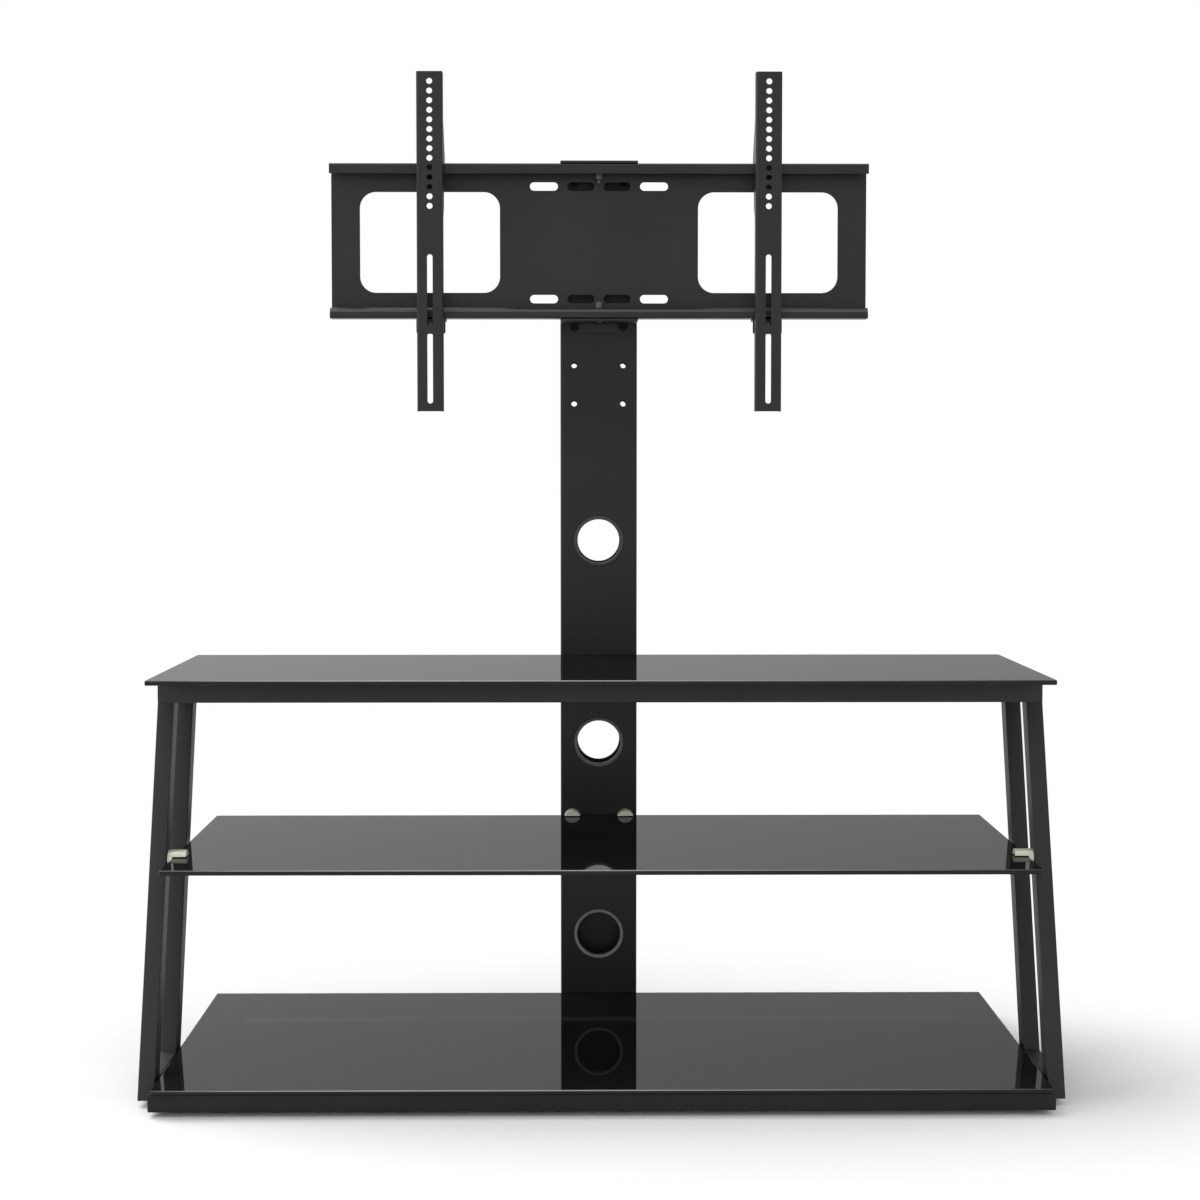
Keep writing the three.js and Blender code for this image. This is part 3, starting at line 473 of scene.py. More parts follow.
recipes = [
    ("frameCoat", "frame_paint", textured, frameCoatLook),
    ("baseCoat", "frame_paint", textured, frameCoatPaintedShadeLook),
    ("columnCoat", "column_paint", textured, columnCoatLook),
    ("plateCoat", "plate_paint", textured, plateCoatLook),
    ("armCoat", "arm_paint", textured, armCoatLook),
    ("shelfGlass", "black_glass", blackGlass, shelfGlassLook),
    ("bottomShelfGlass", "black_glass", blackGlass, {**shelfGlassLook, "under": paintedDeckEdgeLook}),
    ("groundEdgeAndHighlight", "black_glass", groundGlassAndHighlight, groundEdgeAndHighlightLook),
    ("clampMetal", "clamp_metal", textured, clampMetalLook),
    ("boltBlack", "black_bolt", textured, boltBlackLook),
    ("boltZinc", "zinc_bolt", textured, boltZincLook),
    ("capPlastic", "cap_plastic", textured, capPlasticLook),
    ("padRubber", "pad_rubber", textured, padRubberLook),
]
# Lit and shaded copies of the one ring plastic, one per ring: painted light and shade
for ringName, tone in ringPlasticLook["tones"].items():
    shade = {key: tuple(tone * channel for channel in ringPlasticLook[key]) for key in ("dark", "light")}
    recipes.append((f"{ringName}RingPlastic", "ring_plastic", textured, {**ringPlasticLook, **shade}))
finishes = {name: make(name, look) for name, _, make, look in recipes}
print("stage: finishes mixed")


# Side frames: raked legs, a bottom tube between them and a top tube
legTube = {"outside": 550, "width": 20, "depth": 30, "corner": 1.2, "rake": 19.8, "foot": 1, "top": 457.6,
           "front": 466, "spacing": 152, "endRounding": 0.4}
railTube = {"corner": 2.5, "tightCorner": 0.7, "endRounding": 0.4}
legLean = math.tan(math.radians(legTube["rake"]))
legLevelDepth = legTube["depth"] / math.cos(math.radians(legTube["rake"]))
backLegFront = legTube["front"] - legTube["spacing"]


def leg(side, front):
    middle = side * (legTube["outside"] - legTube["width"] / 2)
    ease = legTube["endRounding"]
    loops = []
    for z, inset in ((legTube["foot"], ease), (legTube["foot"] + ease, 0), (legTube["top"], 0)):
        forward = front - legLevelDepth / 2 - legLean * (z - legTube["foot"])
        outline = roundRect(legTube["width"] - 2 * inset, legLevelDepth - 2 * inset,
                            legTube["corner"] - inset)
        loops.append([at(middle + u, forward - v, z) for u, v in outline])
    return skin(bmesh.new(), loops)


# Its ends follow the rake of the legs
def bottomTube(side):
    half = legTube["width"] / 2
    middle = side * (legTube["outside"] - half)
    outline = roundRect(2 * half, 2 * half, legTube["corner"])
    return skin(bmesh.new(), [
        [at(middle + u, forward - legLean * (half + v), legTube["foot"] + half + v) for u, v in outline]
        for forward in (legTube["front"] - legLevelDepth, backLegFront)
    ])


# Straight tube in the place of a solid: its outline is drawn across it, with eased ends
def straightTube(node, sideways, corner=railTube["corner"]):
    span, ease = spanOf(node), railTube["endRounding"]
    if sideways:
        limits, lay, start, end = (span["back"], span["front"]), alongX, span["left"], span["right"]
    else:
        limits, lay, start, end = (span["left"], span["right"]), alongForward, span["back"], span["front"]
    whole, tight = (roundRectWithin(*limits, span["bottom"], span["top"], corner, 6, inset)
                    for inset in (0, ease))
    layers = [(tight, start), (whole, start + ease), (whole, end - ease), (tight, end)]
    return layered(bmesh.new(), layers, lay)


for sideName, side in sides:
    for legName, front in (("front", legTube["front"]), ("back", backLegFront)):
        addSmooth(f"{sideName}_{legName}_leg", leg(side, front), "stand", "frameCoat")
    addSmooth(f"{sideName}_bottom_tube", bottomTube(side), "stand", "frameCoat")
    for kind, coat in (("top_tube", "frameCoat"), ("base_rail", "baseCoat")):
        addSmooth(f"{sideName}_{kind}", straightTube(f"{sideName}_{kind}", False), "stand", coat)

# The top front rail has tight corners, so that it runs into the legs below it without a dark seam
for node, coat, corner in (("top_front_rail", "frameCoat", "tightCorner"),
                           ("top_rear_rail", "frameCoat", "corner"),
                           ("base_front_rail", "baseCoat", "corner"),
                           ("base_rear_rail", "baseCoat", "corner")):
    addSmooth(node, straightTube(node, True, railTube[corner]), "stand", coat)

deckForm = {"edge": 0.4}
deckSpan = spanOf("base_rear_deck")
deckOutline = rectangle(deckSpan["left"], deckSpan["right"], deckSpan["back"], deckSpan["front"])
deck = toPiece("baseRearDeck", prism(bmesh.new(), deckOutline, alongZ, deckSpan["bottom"], deckSpan["top"]))
softenEdges(deck, deckForm["edge"])
place(deck, "stand", "baseCoat", "base_rear_deck")
print("stage: frame tubes and rails")


# Pads under the top glass, and glides under the base
padForm = {"stem": 9, "brim": 12, "rounding": 0.8, "steps": 32}
glideForm = {"radius": 13}


def padProfile(bottom, top):
    stem, brim = padForm["stem"], padForm["brim"]
    return [(0, bottom), (stem, bottom), (stem, top - 2.2), (brim - padForm["rounding"], top - 1.6),
            (brim, top - 1), (brim, top - 0.3), (brim - 0.4, top), (0, top)]


def glideProfile(bottom, top):
    radius = glideForm["radius"]
    return [(0, bottom), (radius - 1.2, bottom), (radius - 0.35, bottom + 0.35), (radius, bottom + 1.2),
            (radius - 0.6, top), (0, top)]


for sideName, _ in sides:
    for endName in ("front", "rear"):
        for kind, profileOf in (("pad", padProfile), ("glide", glideProfile)):
            node = f"{sideName}_{endName}_{kind}"
            span = spanOf(node)
            profile = profileOf(span["bottom"], span["top"])
            addSmooth(node, turned(bmesh.new(), profile, alongZ, middleOf(span), padForm["steps"]),
                      "stand", "padRubber")
print("stage: pads and glides")


# Glass shelves with eased edges. The bevel along the upper front edge gets the frosted ground finish with its
# painted highlight:
# it is only given where a face looks forward and upward within these limits, where the light falls on it
glassEdge = {"corner": 2.5, "cornerSteps": 8, "ease": 1.0, "creaseAngle": 20,
             "groundHighlightForward": 0.2, "groundHighlightUp": (0.2, 0.97)}


def shelf(node):
    span, ease = spanOf(node), glassEdge["ease"]
    levels = [(ease, 0), (0.3 * ease, 0.3 * ease), (0, ease)]
    heights = [(inset, span["bottom"] + rise) for inset, rise in levels]
    heights += [(inset, span["top"] - rise) for inset, rise in reversed(levels)]
    layers = [(roundRectWithin(span["left"], span["right"], span["back"], span["front"],
                               glassEdge["corner"], glassEdge["cornerSteps"], inset), z)
              for inset, z in heights]
    return layered(bmesh.new(), layers, alongZ)


groundHighlightLow, groundHighlightHigh = glassEdge["groundHighlightUp"]
for node, finish in (("top_glass", "shelfGlass"), ("middle_glass", "shelfGlass"),
                     ("bottom_glass", "bottomShelfGlass")):
    glass = addSmooth(node, shelf(node), "stand", finish, glassEdge["creaseAngle"])
    glass.data.materials.append(finishes["groundEdgeAndHighlight"])
    # Painted highlight: only these forward and upward bevel faces get the lighter ground finish
    for polygon in glass.data.polygons:
        if polygon.normal.y < -glassEdge["groundHighlightForward"] and groundHighlightLow < polygon.normal.z < groundHighlightHigh:
            polygon.material_index = 1
print("stage: glass shelves")


# Outlines of a screw: round rows of (radius, height), then the wall of its hex socket
def screwRows(rounds, socket, socketHeights, middle):
    return ([(circle(radius, 24, middle), w) for radius, w in rounds]
            + [(hexagon(socket, 24, middle), w) for w in socketHeights])


# Round glass clamps with a slot for the shelf and a screw from below
clampForm = {"radius": 11.4, "length": 23, "ease": 0.45, "spine": 6, "glassTop": 273.7,
             "glassThickness": 6, "gap": 0.3, "slotGap": 1.1, "screwHole": 5.6,
             "legSeat": 529.7, "columnSeat": 0.3, "columnOffset": 36}
clampScrewForm = {"shank": 5, "head": 9, "headHeight": 3, "socket": 4, "socketDepth": 1.8}
clampScrewMiddle = ((clampForm["spine"] + clampForm["length"]) / 2, 0)


# Lays (out from the seat, sideways, up) into the room for one of the four clamps
def clampLay(seat, heading):
    cosine, sine = math.cos(heading), math.sin(heading)
    return lambda out, across, z: at(seat[0] + out * cosine - across * sine,
                                     seat[1] + out * sine + across * cosine, z)


def clampBody(lay):
    middle = clampForm["glassTop"] - clampForm["glassThickness"] / 2
    ease, length = clampForm["ease"], clampForm["length"]
    stations = [(0, ease), (ease * 0.3, ease * 0.3), (ease, 0),
                (length - ease, 0), (length - ease * 0.3, ease * 0.3), (length, ease)]
    return skin(bmesh.new(), [
        [lay(out, across, z) for across, z in circle(clampForm["radius"] - inset, 64, (0, middle))]
        for out, inset in stations
    ])


def clampCutters(lay):
    top = clampForm["glassTop"] + clampForm["slotGap"]
    bottom = clampForm["glassTop"] - clampForm["glassThickness"] - clampForm["slotGap"]
    wide, past = clampForm["radius"] + 2, clampForm["length"] + 2
    bm = prism(bmesh.new(), rectangle(clampForm["spine"], past, -wide, wide), lay, bottom, top)
    return prism(bm, circle(clampForm["screwHole"] / 2, 20, clampScrewMiddle), lay,
                 bottom - clampForm["radius"], bottom + 1)


def clampScrew(lay):
    form = clampScrewForm
    shank, head = form["shank"] / 2, form["head"] / 2
    tip = clampForm["glassTop"] - clampForm["glassThickness"] - clampForm["gap"]
    seat = clampForm["glassTop"] - clampForm["glassThickness"] / 2 - clampForm["radius"]
    low = seat - form["headHeight"]
    rounds = [(shank - 0.4, tip), (shank, tip - 0.4), (shank, seat), (head - 0.3, seat), (head, seat - 0.4),
              (head, low + 0.6), (head - 0.6, low)]
    heights = (low, low + form["socketDepth"])
    return layered(bmesh.new(), screwRows(rounds, form["socket"], heights, clampScrewMiddle), lay)


legForward = legTube["front"] - legLean * (clampForm["glassTop"] - legTube["foot"]) - legLevelDepth / 2
clampPlaces = [
    ("left", (-clampForm["legSeat"], legForward), 0),
    ("right", (clampForm["legSeat"], legForward), math.pi),
    ("column_left", (-clampForm["columnOffset"], clampForm["columnSeat"]), math.pi / 2),
    ("column_right", (clampForm["columnOffset"], clampForm["columnSeat"]), math.pi / 2),
]
for clampName, seat, heading in clampPlaces:
    lay = clampLay(seat, heading)
    clamp = toPiece(camel(f"glass_clamp_{clampName}"), clampBody(lay))
    combine(clamp, clampCutters(lay), "DIFFERENCE")
    smooth(clamp, 20)
    place(clamp, "stand", "clampMetal", f"{clampName}_glass_clamp")
    addSmooth(f"{clampName}_clamp_screw", clampScrew(lay), "stand", "clampMetal", 30,
              camel(f"clamp_screw_{clampName}"))
print("stage: glass clamps")


# Bolts and screws that run forward or backward; shankEnd, seat and top are forward values
headBolt = {"shank": 6, "head": 13.4, "socket": 5, "socketDepth": 2.6, "ease": 0.8, "offset": 33.4,
            "shankEnd": 0.3, "seat": 3.6, "top": 8.6, "heights": {"lower": 940.2, "upper": 1135.7}}
tieBolt = {"shank": 8, "head": 15, "socket": 6, "socketDepth": 2.2, "ease": 0.8, "offset": 36,
           "shankEnd": 12, "seat": -50.3, "top": -54.5, "heights": {"upper": 468.4, "lower": 8.85}}
lockScrew = {"shank": 5, "head": 7, "socket": 3.5, "socketDepth": 2, "ease": 0.5, "offset": 223,
             "shankEnd": 74.2, "seat": 86, "top": 91, "height": 937}

# Column: a folded channel, a flat cover behind it, a cap, a foot and three cable rings
columnForm = {"width": 104.2, "depth": 50, "sheet": 2, "bend": 3, "bottom": -1, "top": 1156,
              "edge": 0.35, "boltHole": 8.0, "tieHole": 8.6, "settings": 3, "settingPitch": 52,
              "coverGap": 0.3, "capThickness": 3}
ringHeights = {"upper": 649.1, "middle": 373.4, "lower": 108.3}
cableRing = {"bore": 29.6, "sleeve": 31.3, "flange": 33.7, "depth": 9, "proud": 1.6, "gap": 0.3,
             "backHole": 28.8, "steps": 72}


# Through the sheet from back to front: the bolt holes of all settings, the tie holes and the ring holes
def columnHoles(back, front, ringNames, ringRadius):
    bm = bmesh.new()
    rows = [(columnForm["boltHole"], headBolt["offset"], height - step * columnForm["settingPitch"])
            for height in headBolt["heights"].values() for step in range(columnForm["settings"])]
    rows += [(columnForm["tieHole"], tieBolt["offset"], height) for height in tieBolt["heights"].values()]
    for size, offset, height in rows:
        for _, side in sides:
            prism(bm, circle(size / 2, 24, (side * offset, height)), alongForward, back, front)
    for name in ringNames:
        prism(bm, circle(ringRadius, 64, (0, ringHeights[name])), alongForward, back, front)
    return bm


def addColumnSheet(node, outline, holes):
    sheet = toPiece(camel(node), prism(bmesh.new(), outline, alongZ, columnForm["bottom"], columnForm["top"]))
    combine(sheet, holes, "DIFFERENCE")
    softenEdges(sheet, columnForm["edge"])
    place(sheet, "stand", "columnCoat", node)


# Cap or foot: a plug inside the column, then an eased plate; rows of (inset, corner, height)
def columnPlug(seat, up, thickness):
    far = seat + up * thickness
    ease = min(thickness, 3)
    rows = [(4.6, 2, seat - up * 12), (4.6, 2, seat), (0.4, 3.8, seat), (0, 4, seat + up * 0.2),
            (0, 4, far - up * 0.4 * ease), (0.6 * ease, 3.6, far - up * 0.12 * ease), (0.4 + ease, 3.2, far)]
    layers = [(roundRect(columnForm["width"] - inset, columnForm["depth"] - inset, corner, 6,
                         (0, -columnForm["depth"] / 2)), z) for inset, corner, z in rows]
    return layered(bmesh.new(), layers, alongZ)


def ringProfile():
    bore, sleeve, flange = cableRing["bore"], cableRing["sleeve"], cableRing["flange"]
    depth, proud, gap = cableRing["depth"], cableRing["proud"], cableRing["gap"]
    return [(bore, -depth), (sleeve, -depth), (sleeve, gap), (flange, gap), (flange, 0.7),
            (flange - 0.35, 1.25), (flange - 1.0, proud), (bore + 0.9, proud), (bore + 0.25, 1.2),
            (bore, 0.5)]


wallMiddle = columnForm["width"] / 2 - columnForm["sheet"] / 2
faceMiddle = -columnForm["sheet"] / 2
channel = foldedSheet([(-wallMiddle, -columnForm["depth"]), (-wallMiddle, faceMiddle),
                       (wallMiddle, faceMiddle), (wallMiddle, -columnForm["depth"])],
                      columnForm["sheet"], columnForm["bend"])
addColumnSheet("column", channel, columnHoles(-4, 2, ringHeights, cableRing["sleeve"] + cableRing["gap"]))

coverHalf = columnForm["width"] / 2 - columnForm["sheet"] - columnForm["coverGap"]
cover = rectangle(-coverHalf, coverHalf, -columnForm["depth"], columnForm["sheet"] - columnForm["depth"])
addColumnSheet("column_back", cover, columnHoles(-52, -46, ("upper", "middle"), cableRing["backHole"]))

addSmooth("column_cap", columnPlug(columnForm["top"], 1, columnForm["capThickness"]),
          "stand", "capPlastic", 40)
addSmooth("column_foot", columnPlug(columnForm["bottom"], -1, glideLift + columnForm["bottom"]),
          "stand", "capPlastic", 40)
for name, height in ringHeights.items():
    bm = turned(bmesh.new(), ringProfile(), alongForward, (0, height), cableRing["steps"], closed=True)
    addSmooth(f"{name}_cable_ring", bm, "stand", f"{name}RingPlastic", 40, camel(f"cable_ring_{name}"))
print("stage: column and cable rings")


# A round head with an eased rim and a hex socket
def socketBolt(form, middle):
    up = 1 if form["top"] > form["seat"] else -1
    shank, head, top, ease = form["shank"] / 2, form["head"] / 2, form["top"], form["ease"]
    rounds = [(shank - 0.3, form["shankEnd"]), (shank, form["shankEnd"] + up * 0.3), (shank, form["seat"]),
              (head, form["seat"]), (head, top - up * ease), (head - 0.3 * ease, top - up * 0.3 * ease),
              (head - ease, top), (form["socket"] / 2 + 0.5, top)]
    heights = (top - up * 0.3, top - up * form["socketDepth"])
    return layered(bmesh.new(), screwRows(rounds, form["socket"], heights, middle), alongForward)


for kind, form, body in (("head", headBolt, "head"), ("tie", tieBolt, "stand")):
    for level, height in form["heights"].items():
        for sideName, side in sides:
            addSmooth(f"{level}_{sideName}_{kind}_bolt", socketBolt(form, (side * form["offset"], height)),
                      body, "boltBlack", 30, camel(f"{kind}_bolt_{level}_{sideName}"))
for sideName, side in sides:
    bm = socketBolt(lockScrew, (side * lockScrew["offset"], lockScrew["height"]))
    addSmooth(f"{sideName}_lock_screw", bm, f"{sideName}_arm", "boltZinc", 30,
              camel(f"lock_screw_{sideName}"))

# Pivot bolts that the mount plate turns on, as rows of (radius, height)
pivotForm = {
    "forward": 61.5, "hole": 6.6, "steps": 28,
    "upper": [(0, 1125.5), (1.7, 1125.5), (2.2, 1126), (2.2, 1130), (4, 1130), (5.2, 1131.2), (5.2, 1148.2),
              (4.9, 1148.5), (3, 1148.5), (3, 1153.8), (2.7, 1154.2), (0, 1154.2)],
    "lower": [(0, 941.8), (2.4, 941.8), (3, 942.4), (3, 949.1), (4.7, 949.1), (5, 949.4), (5, 968.3),
              (3.8, 969.5), (0, 969.5)],
}
pivotMiddle = (0, pivotForm["forward"])
pivotHole = circle(pivotForm["hole"] / 2, 24, pivotMiddle)
for level in ("upper", "lower"):
    bm = turned(bmesh.new(), pivotForm[level], alongZ, pivotMiddle, pivotForm["steps"])
    addSmooth(f"{level}_pivot_bolt", bm, "head", "boltZinc", 30, camel(f"pivot_bolt_{level}"))
print("stage: bolts")


# Swivel bracket: a back plate with an ear above and below the mount plate
bracketForm = {"plateHalf": 43, "plateTop": 1148.5, "plateCorner": 4, "seat": 0.3, "earHalf": 51.5,
               "neckHalf": 23, "tip": 77, "flare": 13.3, "chamfer": 1.5, "sheet": 3, "bend": 2.5,
               "bottom": 931.7, "earTop": 1154.2, "lowerEarBottom": 943.4, "boltHole": 6.8, "edge": 0.4}


def earShape():
    form = bracketForm
    neck, wide, chamfer = form["neckHalf"], form["earHalf"], form["chamfer"]
    tip, flare = form["tip"], form["flare"]
    right = [(neck, flare - 4), (neck, flare), (wide - 2, flare), (wide, flare + 2), (wide, tip - chamfer),
             (wide - chamfer, tip)]
    return [(-x, forward) for x, forward in right] + right[::-1]


def swivelBracket():
    form = bracketForm
    sheet, neck, reach = form["sheet"], form["neckHalf"], form["flare"] - 2
    low, high = form["lowerEarBottom"] + sheet / 2, form["earTop"] - sheet / 2
    middle = form["seat"] + sheet / 2
    spine = foldedSheet([(reach, low), (middle, low), (middle, high), (reach, high)], sheet, form["bend"])
    bracket = toPiece("swivelBracket", prism(bmesh.new(), spine, alongX, -neck, neck))
    backPlate = roundRectWithin(-form["plateHalf"], form["plateHalf"], form["bottom"], form["plateTop"],
                                form["plateCorner"], 5)
    bm = prism(bmesh.new(), backPlate, alongForward, form["seat"], form["seat"] + sheet)
    combine(bracket, bm, "UNION")
    earBottoms = (form["lowerEarBottom"], form["earTop"] - sheet)
    for bottom in earBottoms:
        combine(bracket, prism(bmesh.new(), earShape(), alongZ, bottom, bottom + sheet), "UNION")
    holes = bmesh.new()
    for height in headBolt["heights"].values():
        for _, side in sides:
            prism(holes, circle(form["boltHole"] / 2, 24, (side * headBolt["offset"], height)),
                  alongForward, -2, 6)
    for bottom in earBottoms:
        prism(holes, pivotHole, alongZ, bottom - 2, bottom + 5)
    combine(bracket, holes, "DIFFERENCE")
    softenEdges(bracket, form["edge"])
    return bracket


place(swivelBracket(), "head", "plateCoat", "swivel_bracket")


# Mount plate: a wide folded channel with windows, slots and rolled lips
plateForm = {"half": 357, "bottom": 946.8, "top": 1150.8, "sheet": 2, "bend": 2, "webMiddle": 47,
             "lipMiddle": 76, "topLip": 1137.3, "edge": 0.35,
             "roll": [(76, 952), (75, 955), (72.9, 957.8), (69.6, 960.4)]}
windowForm = {"inner": 132.3, "outer": 318.9, "bottom": 982.4, "top": 1116, "corner": 21.5}
slotForm = {"height": 11.2, "rows": (974.1, 1123.5), "inner": (6.1, 42.1), "outer": (54.8, 92.2)}


def mountPlate():
    form, window = plateForm, windowForm
    lip, web = form["lipMiddle"], form["webMiddle"]
    low, high = form["bottom"] + form["sheet"] / 2, form["top"] - form["sheet"] / 2
    path = [(lip, form["topLip"]), (lip, high), (web, high), (web, low), (lip, low), *form["roll"]]
    folded = foldedSheet(path, form["sheet"], form["bend"])
    plate = toPiece("mountPlate", prism(bmesh.new(), folded, alongX, -form["half"], form["half"]))
    holes = bmesh.new()
    through = (web - 4, web + 4)
    for _, side in sides:
        left, right = sorted((side * window["inner"], side * window["outer"]))
        prism(holes, roundRectWithin(left, right, window["bottom"], window["top"], window["corner"], 14),
              alongForward, *through)
        for row in slotForm["rows"]:
            for near, far in (slotForm["inner"], slotForm["outer"]):
                prism(holes, oblong(far - near, slotForm["height"], (side * (near + far) / 2, row)),
                      alongForward, *through)
    for height in (form["bottom"], form["top"]):
        prism(holes, pivotHole, alongZ, height - 4, height + 4)
    combine(plate, holes, "DIFFERENCE")
    softenEdges(plate, form["edge"])
    return plate


place(mountPlate(), "plate", "plateCoat", "mount_plate")
print("stage: swivel bracket and mount plate")


# Screen arms: channels with a row of holes and two slots, hooked over the plate by side wings
armForm = {"x": lockScrew["offset"], "width": 34.5, "front": 97, "depth": 18.5, "sheet": 2, "bend": 1.7,
           "bottom": 823.3, "top": 1267.7, "edge": 0.35, "holes": 14, "pitch": 12.5, "firstHole": 1254.9,
           "holeSize": 7.8, "slotWidth": 7.2, "slots": ((833.6, 926.0), (934.9, 1029.3))}
wingForm = {"seat": 1151.2, "toothFront": 45.1, "toothBack": 41.1, "toothBottom": 1139.8, "rise": 16,
            "chamfer": 4, "above": 1209.2, "spacerBack": 61.5, "spacerTop": 1134.3, "spacerBottom": 1078.3}


def wingShape():
    form = wingForm
    back = armForm["front"] - armForm["depth"]
    root = back + armForm["depth"] / 2
    run = back - form["spacerBack"]
    shoulder = form["seat"] + form["rise"]
    return [(root, form["spacerBottom"]), (back, form["spacerBottom"]),
            (form["spacerBack"], form["spacerBottom"] + run), (form["spacerBack"], form["spacerTop"]),
            (back, form["spacerTop"]), (back, form["seat"]), (form["toothFront"], form["seat"]),
            (form["toothFront"], form["toothBottom"]), (form["toothBack"], form["toothBottom"]),
            (form["toothBack"], shoulder - form["chamfer"]), (form["toothBack"] + form["chamfer"], shoulder),
            (back, form["above"]), (root, form["above"])]


def screenArm(sideName, side):
    form = armForm
    middle, sheet = side * form["x"], form["sheet"]
    reach = form["width"] / 2 - sheet / 2
    back, face = form["front"] - form["depth"], form["front"] - sheet / 2
    folded = foldedSheet([(middle - reach, back), (middle - reach, face), (middle + reach, face),
                          (middle + reach, back)], sheet, form["bend"])
    arm = toPiece(camel(f"screen_arm_{sideName}"),
                  prism(bmesh.new(), folded, alongZ, form["bottom"], form["top"]))
    for edge in (-1, 1):
        outside = middle + edge * form["width"] / 2
        inside = outside - edge * sheet
        bm = prism(bmesh.new(), wingShape(), alongX, min(outside, inside), max(outside, inside))
        combine(arm, bm, "UNION")
    holes = bmesh.new()
    through = (form["front"] - 4, form["front"] + 2)
    for i in range(form["holes"]):
        prism(holes, circle(form["holeSize"] / 2, 28, (middle, form["firstHole"] - i * form["pitch"])),
              alongForward, *through)
    for low, high in form["slots"]:
        prism(holes, oblong(form["slotWidth"], high - low, (middle, (low + high) / 2)),
              alongForward, *through)
    combine(arm, holes, "DIFFERENCE")
    softenEdges(arm, form["edge"])
    return arm


# Lower hook bracket under each arm, with its shelf below the plate and a tooth behind it
hookForm = {"width": 38.6, "sheet": 2, "bend": 1.8, "wallMiddle": 77.2, "bottom": 926, "shelfMiddle": 944.8,
            "toothMiddle": 42.4, "toothTop": 961.8, "screwHole": 5.6, "chamfer": 2, "edge": 0.3}


def lowerHook(sideName, side):
    form = hookForm
    middle, half = side * armForm["x"], form["width"] / 2
    wall, bottom = form["wallMiddle"], form["bottom"]
    tooth, shelfHeight = form["toothMiddle"], form["shelfMiddle"]
    folded = foldedSheet([(wall, bottom), (wall, shelfHeight), (tooth, shelfHeight),
                          (tooth, form["toothTop"])], form["sheet"], form["bend"])
    hook = toPiece(camel(f"lower_hook_{sideName}"),
                   prism(bmesh.new(), folded, alongX, middle - half, middle + half))
    holes = bmesh.new()
    through = (wall - 4, wall + 3)
    prism(holes, circle(form["screwHole"] / 2, 24, (middle, lockScrew["height"])), alongForward, *through)
    for edge in (-1, 1):
        outside = middle + edge * half
        corner = [(outside + edge, bottom - 1), (outside + edge, bottom + form["chamfer"] + 1),
                  (outside - edge * (form["chamfer"] + 1), bottom - 1)]
        prism(holes, corner, alongForward, *through)
    combine(hook, holes, "DIFFERENCE")
    softenEdges(hook, form["edge"])
    return hook


for sideName, side in sides:
    place(screenArm(sideName, side), f"{sideName}_arm", "armCoat", f"{sideName}_screen_arm")
    place(lowerHook(sideName, side), f"{sideName}_arm", "armCoat", f"{sideName}_lower_hook")
print("stage: screen arms and hooks")


# Room: a white floor and surroundings, soft lamps, and the camera

# Two switches. The first is on for rays in gloss. The second is on for all rays that see the
# background: in gloss, straight from the camera, or through clear things
def seenRays(tree):
    rays = addNode(tree, "ShaderNodeLightPath").outputs
    gloss = rays["Is Glossy Ray"]
    first = combined(tree, "ADD", rays["Is Camera Ray"], gloss)
    return gloss, combined(tree, "ADD", first, rays["Is Transmission Ray"], use_clamp=True)


# The floor glows part white to those rays, so that it only shows a soft shadow near the stand
floorLook = {"size": 80, "drop": 0.0002, "white": 0.72, "bright": 1.0, "nearGlow": 0.0,
             "nearRadius": 0.75, "farRadius": 2.4}
bpy.ops.mesh.primitive_plane_add(size=floorLook["size"], location=(0, 0, -floorLook["drop"]))
floor = bpy.context.active_object
floor.name = "floor"
floorPaint = bpy.data.materials.new("floorPaint")
floorPaint.use_nodes = True
tree = floorPaint.node_tree
tree.nodes.remove(tree.nodes["Principled BSDF"])
_, seen = seenRays(tree)
where = addNode(tree, "ShaderNodeTexCoord").outputs["Object"]
distance = addNode(tree, "ShaderNodeVectorMath", {0: where}, operation="LENGTH").outputs["Value"]
glowShare = between(tree, distance, floorLook["nearGlow"], 1, floorLook["nearRadius"],
                    floorLook["farRadius"], interpolation_type="SMOOTHSTEP")
paintLevel = between(tree, seen, floorLook["white"], floorLook["bright"], 0, 1)
mix = addNode(tree, "ShaderNodeMixShader", {
    "Fac": combined(tree, "MULTIPLY", glowShare, seen),
    1: addNode(tree, "ShaderNodeBsdfDiffuse", {"Color": paintLevel}).outputs["BSDF"],
    2: addNode(tree, "ShaderNodeEmission").outputs["Emission"],
})
setInputs(tree, tree.nodes["Material Output"], {"Surface": mix.outputs["Shader"]})
floor.data.materials.append(floorPaint)

# The surroundings are plain white to the camera. In gloss they are a studio that is brighter on
# the left than on the right and a little darker overhead.
roomLook = {"ambient": 0.6, "glossLevel": 0.9, "glossSlope": (-0.75, 0.0, -0.38), "glossLimits": (0.4, 1.2)}
world = bpy.data.worlds.new("room")
bpy.context.scene.world = world
world.use_nodes = True
tree = world.node_tree
gloss, seen = seenRays(tree)
heading = addNode(tree, "ShaderNodeTexCoord").outputs["Generated"]
slope = addNode(tree, "ShaderNodeVectorMath", {0: heading, 1: roomLook["glossSlope"]},
                operation="DOT_PRODUCT").outputs["Value"]
wall = addNode(tree, "ShaderNodeClamp", {
    "Value": combined(tree, "ADD", slope, roomLook["glossLevel"]),
    "Min": roomLook["glossLimits"][0], "Max": roomLook["glossLimits"][1],
})
strength = addNode(tree, "ShaderNodeMix", {
    "Factor": gloss, "A": between(tree, seen, roomLook["ambient"], 1, 0, 1), "B": wall.outputs["Result"],
})
setInputs(tree, tree.nodes["Background"],
          {"Color": (1, 1, 1, 1), "Strength": strength.outputs["Result"]})

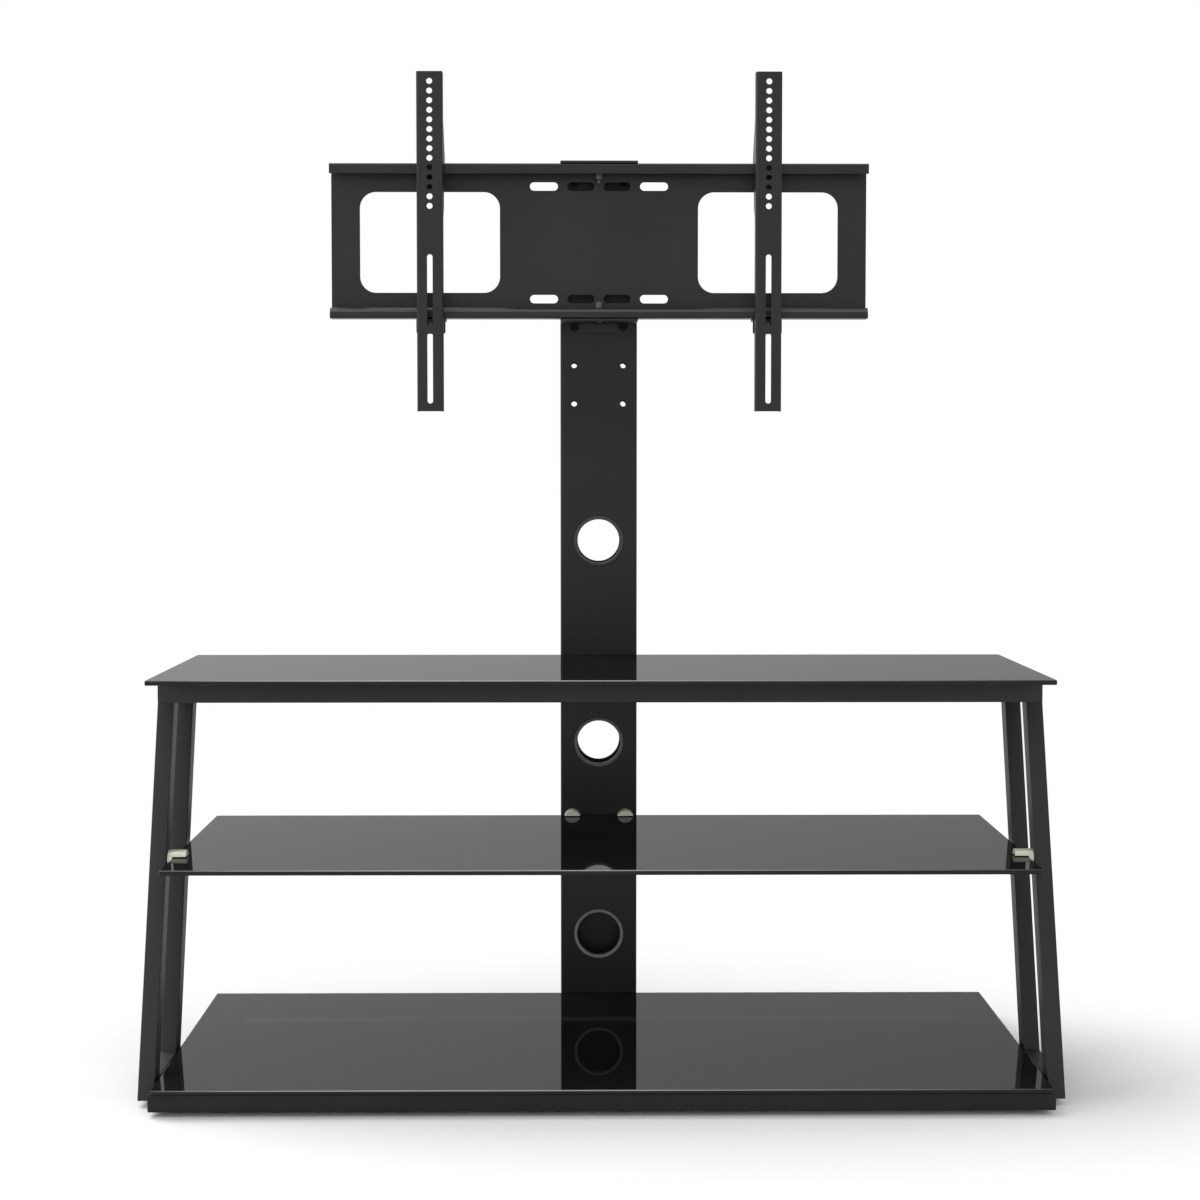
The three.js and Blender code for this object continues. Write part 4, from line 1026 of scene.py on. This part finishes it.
lamps = {
    "left": {"at": (-3.0, -1.8, 1.9), "aim": (0, 0, 0.6), "size": (1.8, 1.8), "watts": 16},
    "right": {"at": (3.2, -1.8, 1.6), "aim": (0, 0, 0.6), "size": (1.6, 1.6), "watts": 14},
    # lights gloss only: it draws the bright lines along edges that face up and forward
    "overhead": {"at": (0, -0.3, 3.0), "aim": (0, -0.1, 0), "size": (2.6, 1.4), "watts": 32,
                 "lights": "gloss"},
    # fills the space under the shelves without showing in any gloss
    "front": {"at": (-0.2, -3.6, 0.9), "aim": (0, 0, 0.35), "size": (2.6, 1.2), "watts": 28,
              "lights": "body"},
}
sunLook = {"from": (-0.6, 0.4, 1.0), "strength": 1.6, "softness": 50}


def addLight(name, light, location, aim):
    holder = bpy.data.objects.new(name, light)
    holder.location = location
    holder.rotation_euler = (Vector(aim) - Vector(location)).to_track_quat("-Z", "Y").to_euler()
    bpy.context.scene.collection.objects.link(holder)
    return holder


for name, lamp in lamps.items():
    light = bpy.data.lights.new(name, "AREA")
    light.shape = "RECTANGLE"
    light.size, light.size_y = lamp["size"]
    light.energy = lamp["watts"]
    holder = addLight(name, light, lamp["at"], lamp["aim"])
    holder.visible_diffuse = lamp.get("lights") != "gloss"
    holder.visible_glossy = lamp.get("lights") != "body"
sun = bpy.data.lights.new("sun", "SUN")
sun.energy = sunLook["strength"]
sun.angle = math.radians(sunLook["softness"])
addLight("sun", sun, sunLook["from"], (0, 0, 0))

viewpoint = {"at": (-0.029, -3.0169, 0.7545), "tilt": 3.155, "turn": 0.543, "lens": 71.4, "sensor": 36,
             "sight": (0.05, 200)}
eye = bpy.data.cameras.new("eye")
eye.lens = viewpoint["lens"]
eye.sensor_width = viewpoint["sensor"]
eye.clip_start, eye.clip_end = viewpoint["sight"]
camera = bpy.data.objects.new("eye", eye)
camera.location = viewpoint["at"]
camera.rotation_euler = (math.radians(90 - viewpoint["tilt"]), 0, -math.radians(viewpoint["turn"]))
bpy.context.scene.collection.objects.link(camera)
bpy.context.scene.camera = camera
bpy.context.scene.view_settings.view_transform = "Standard"
print("stage: room, lamps and camera")
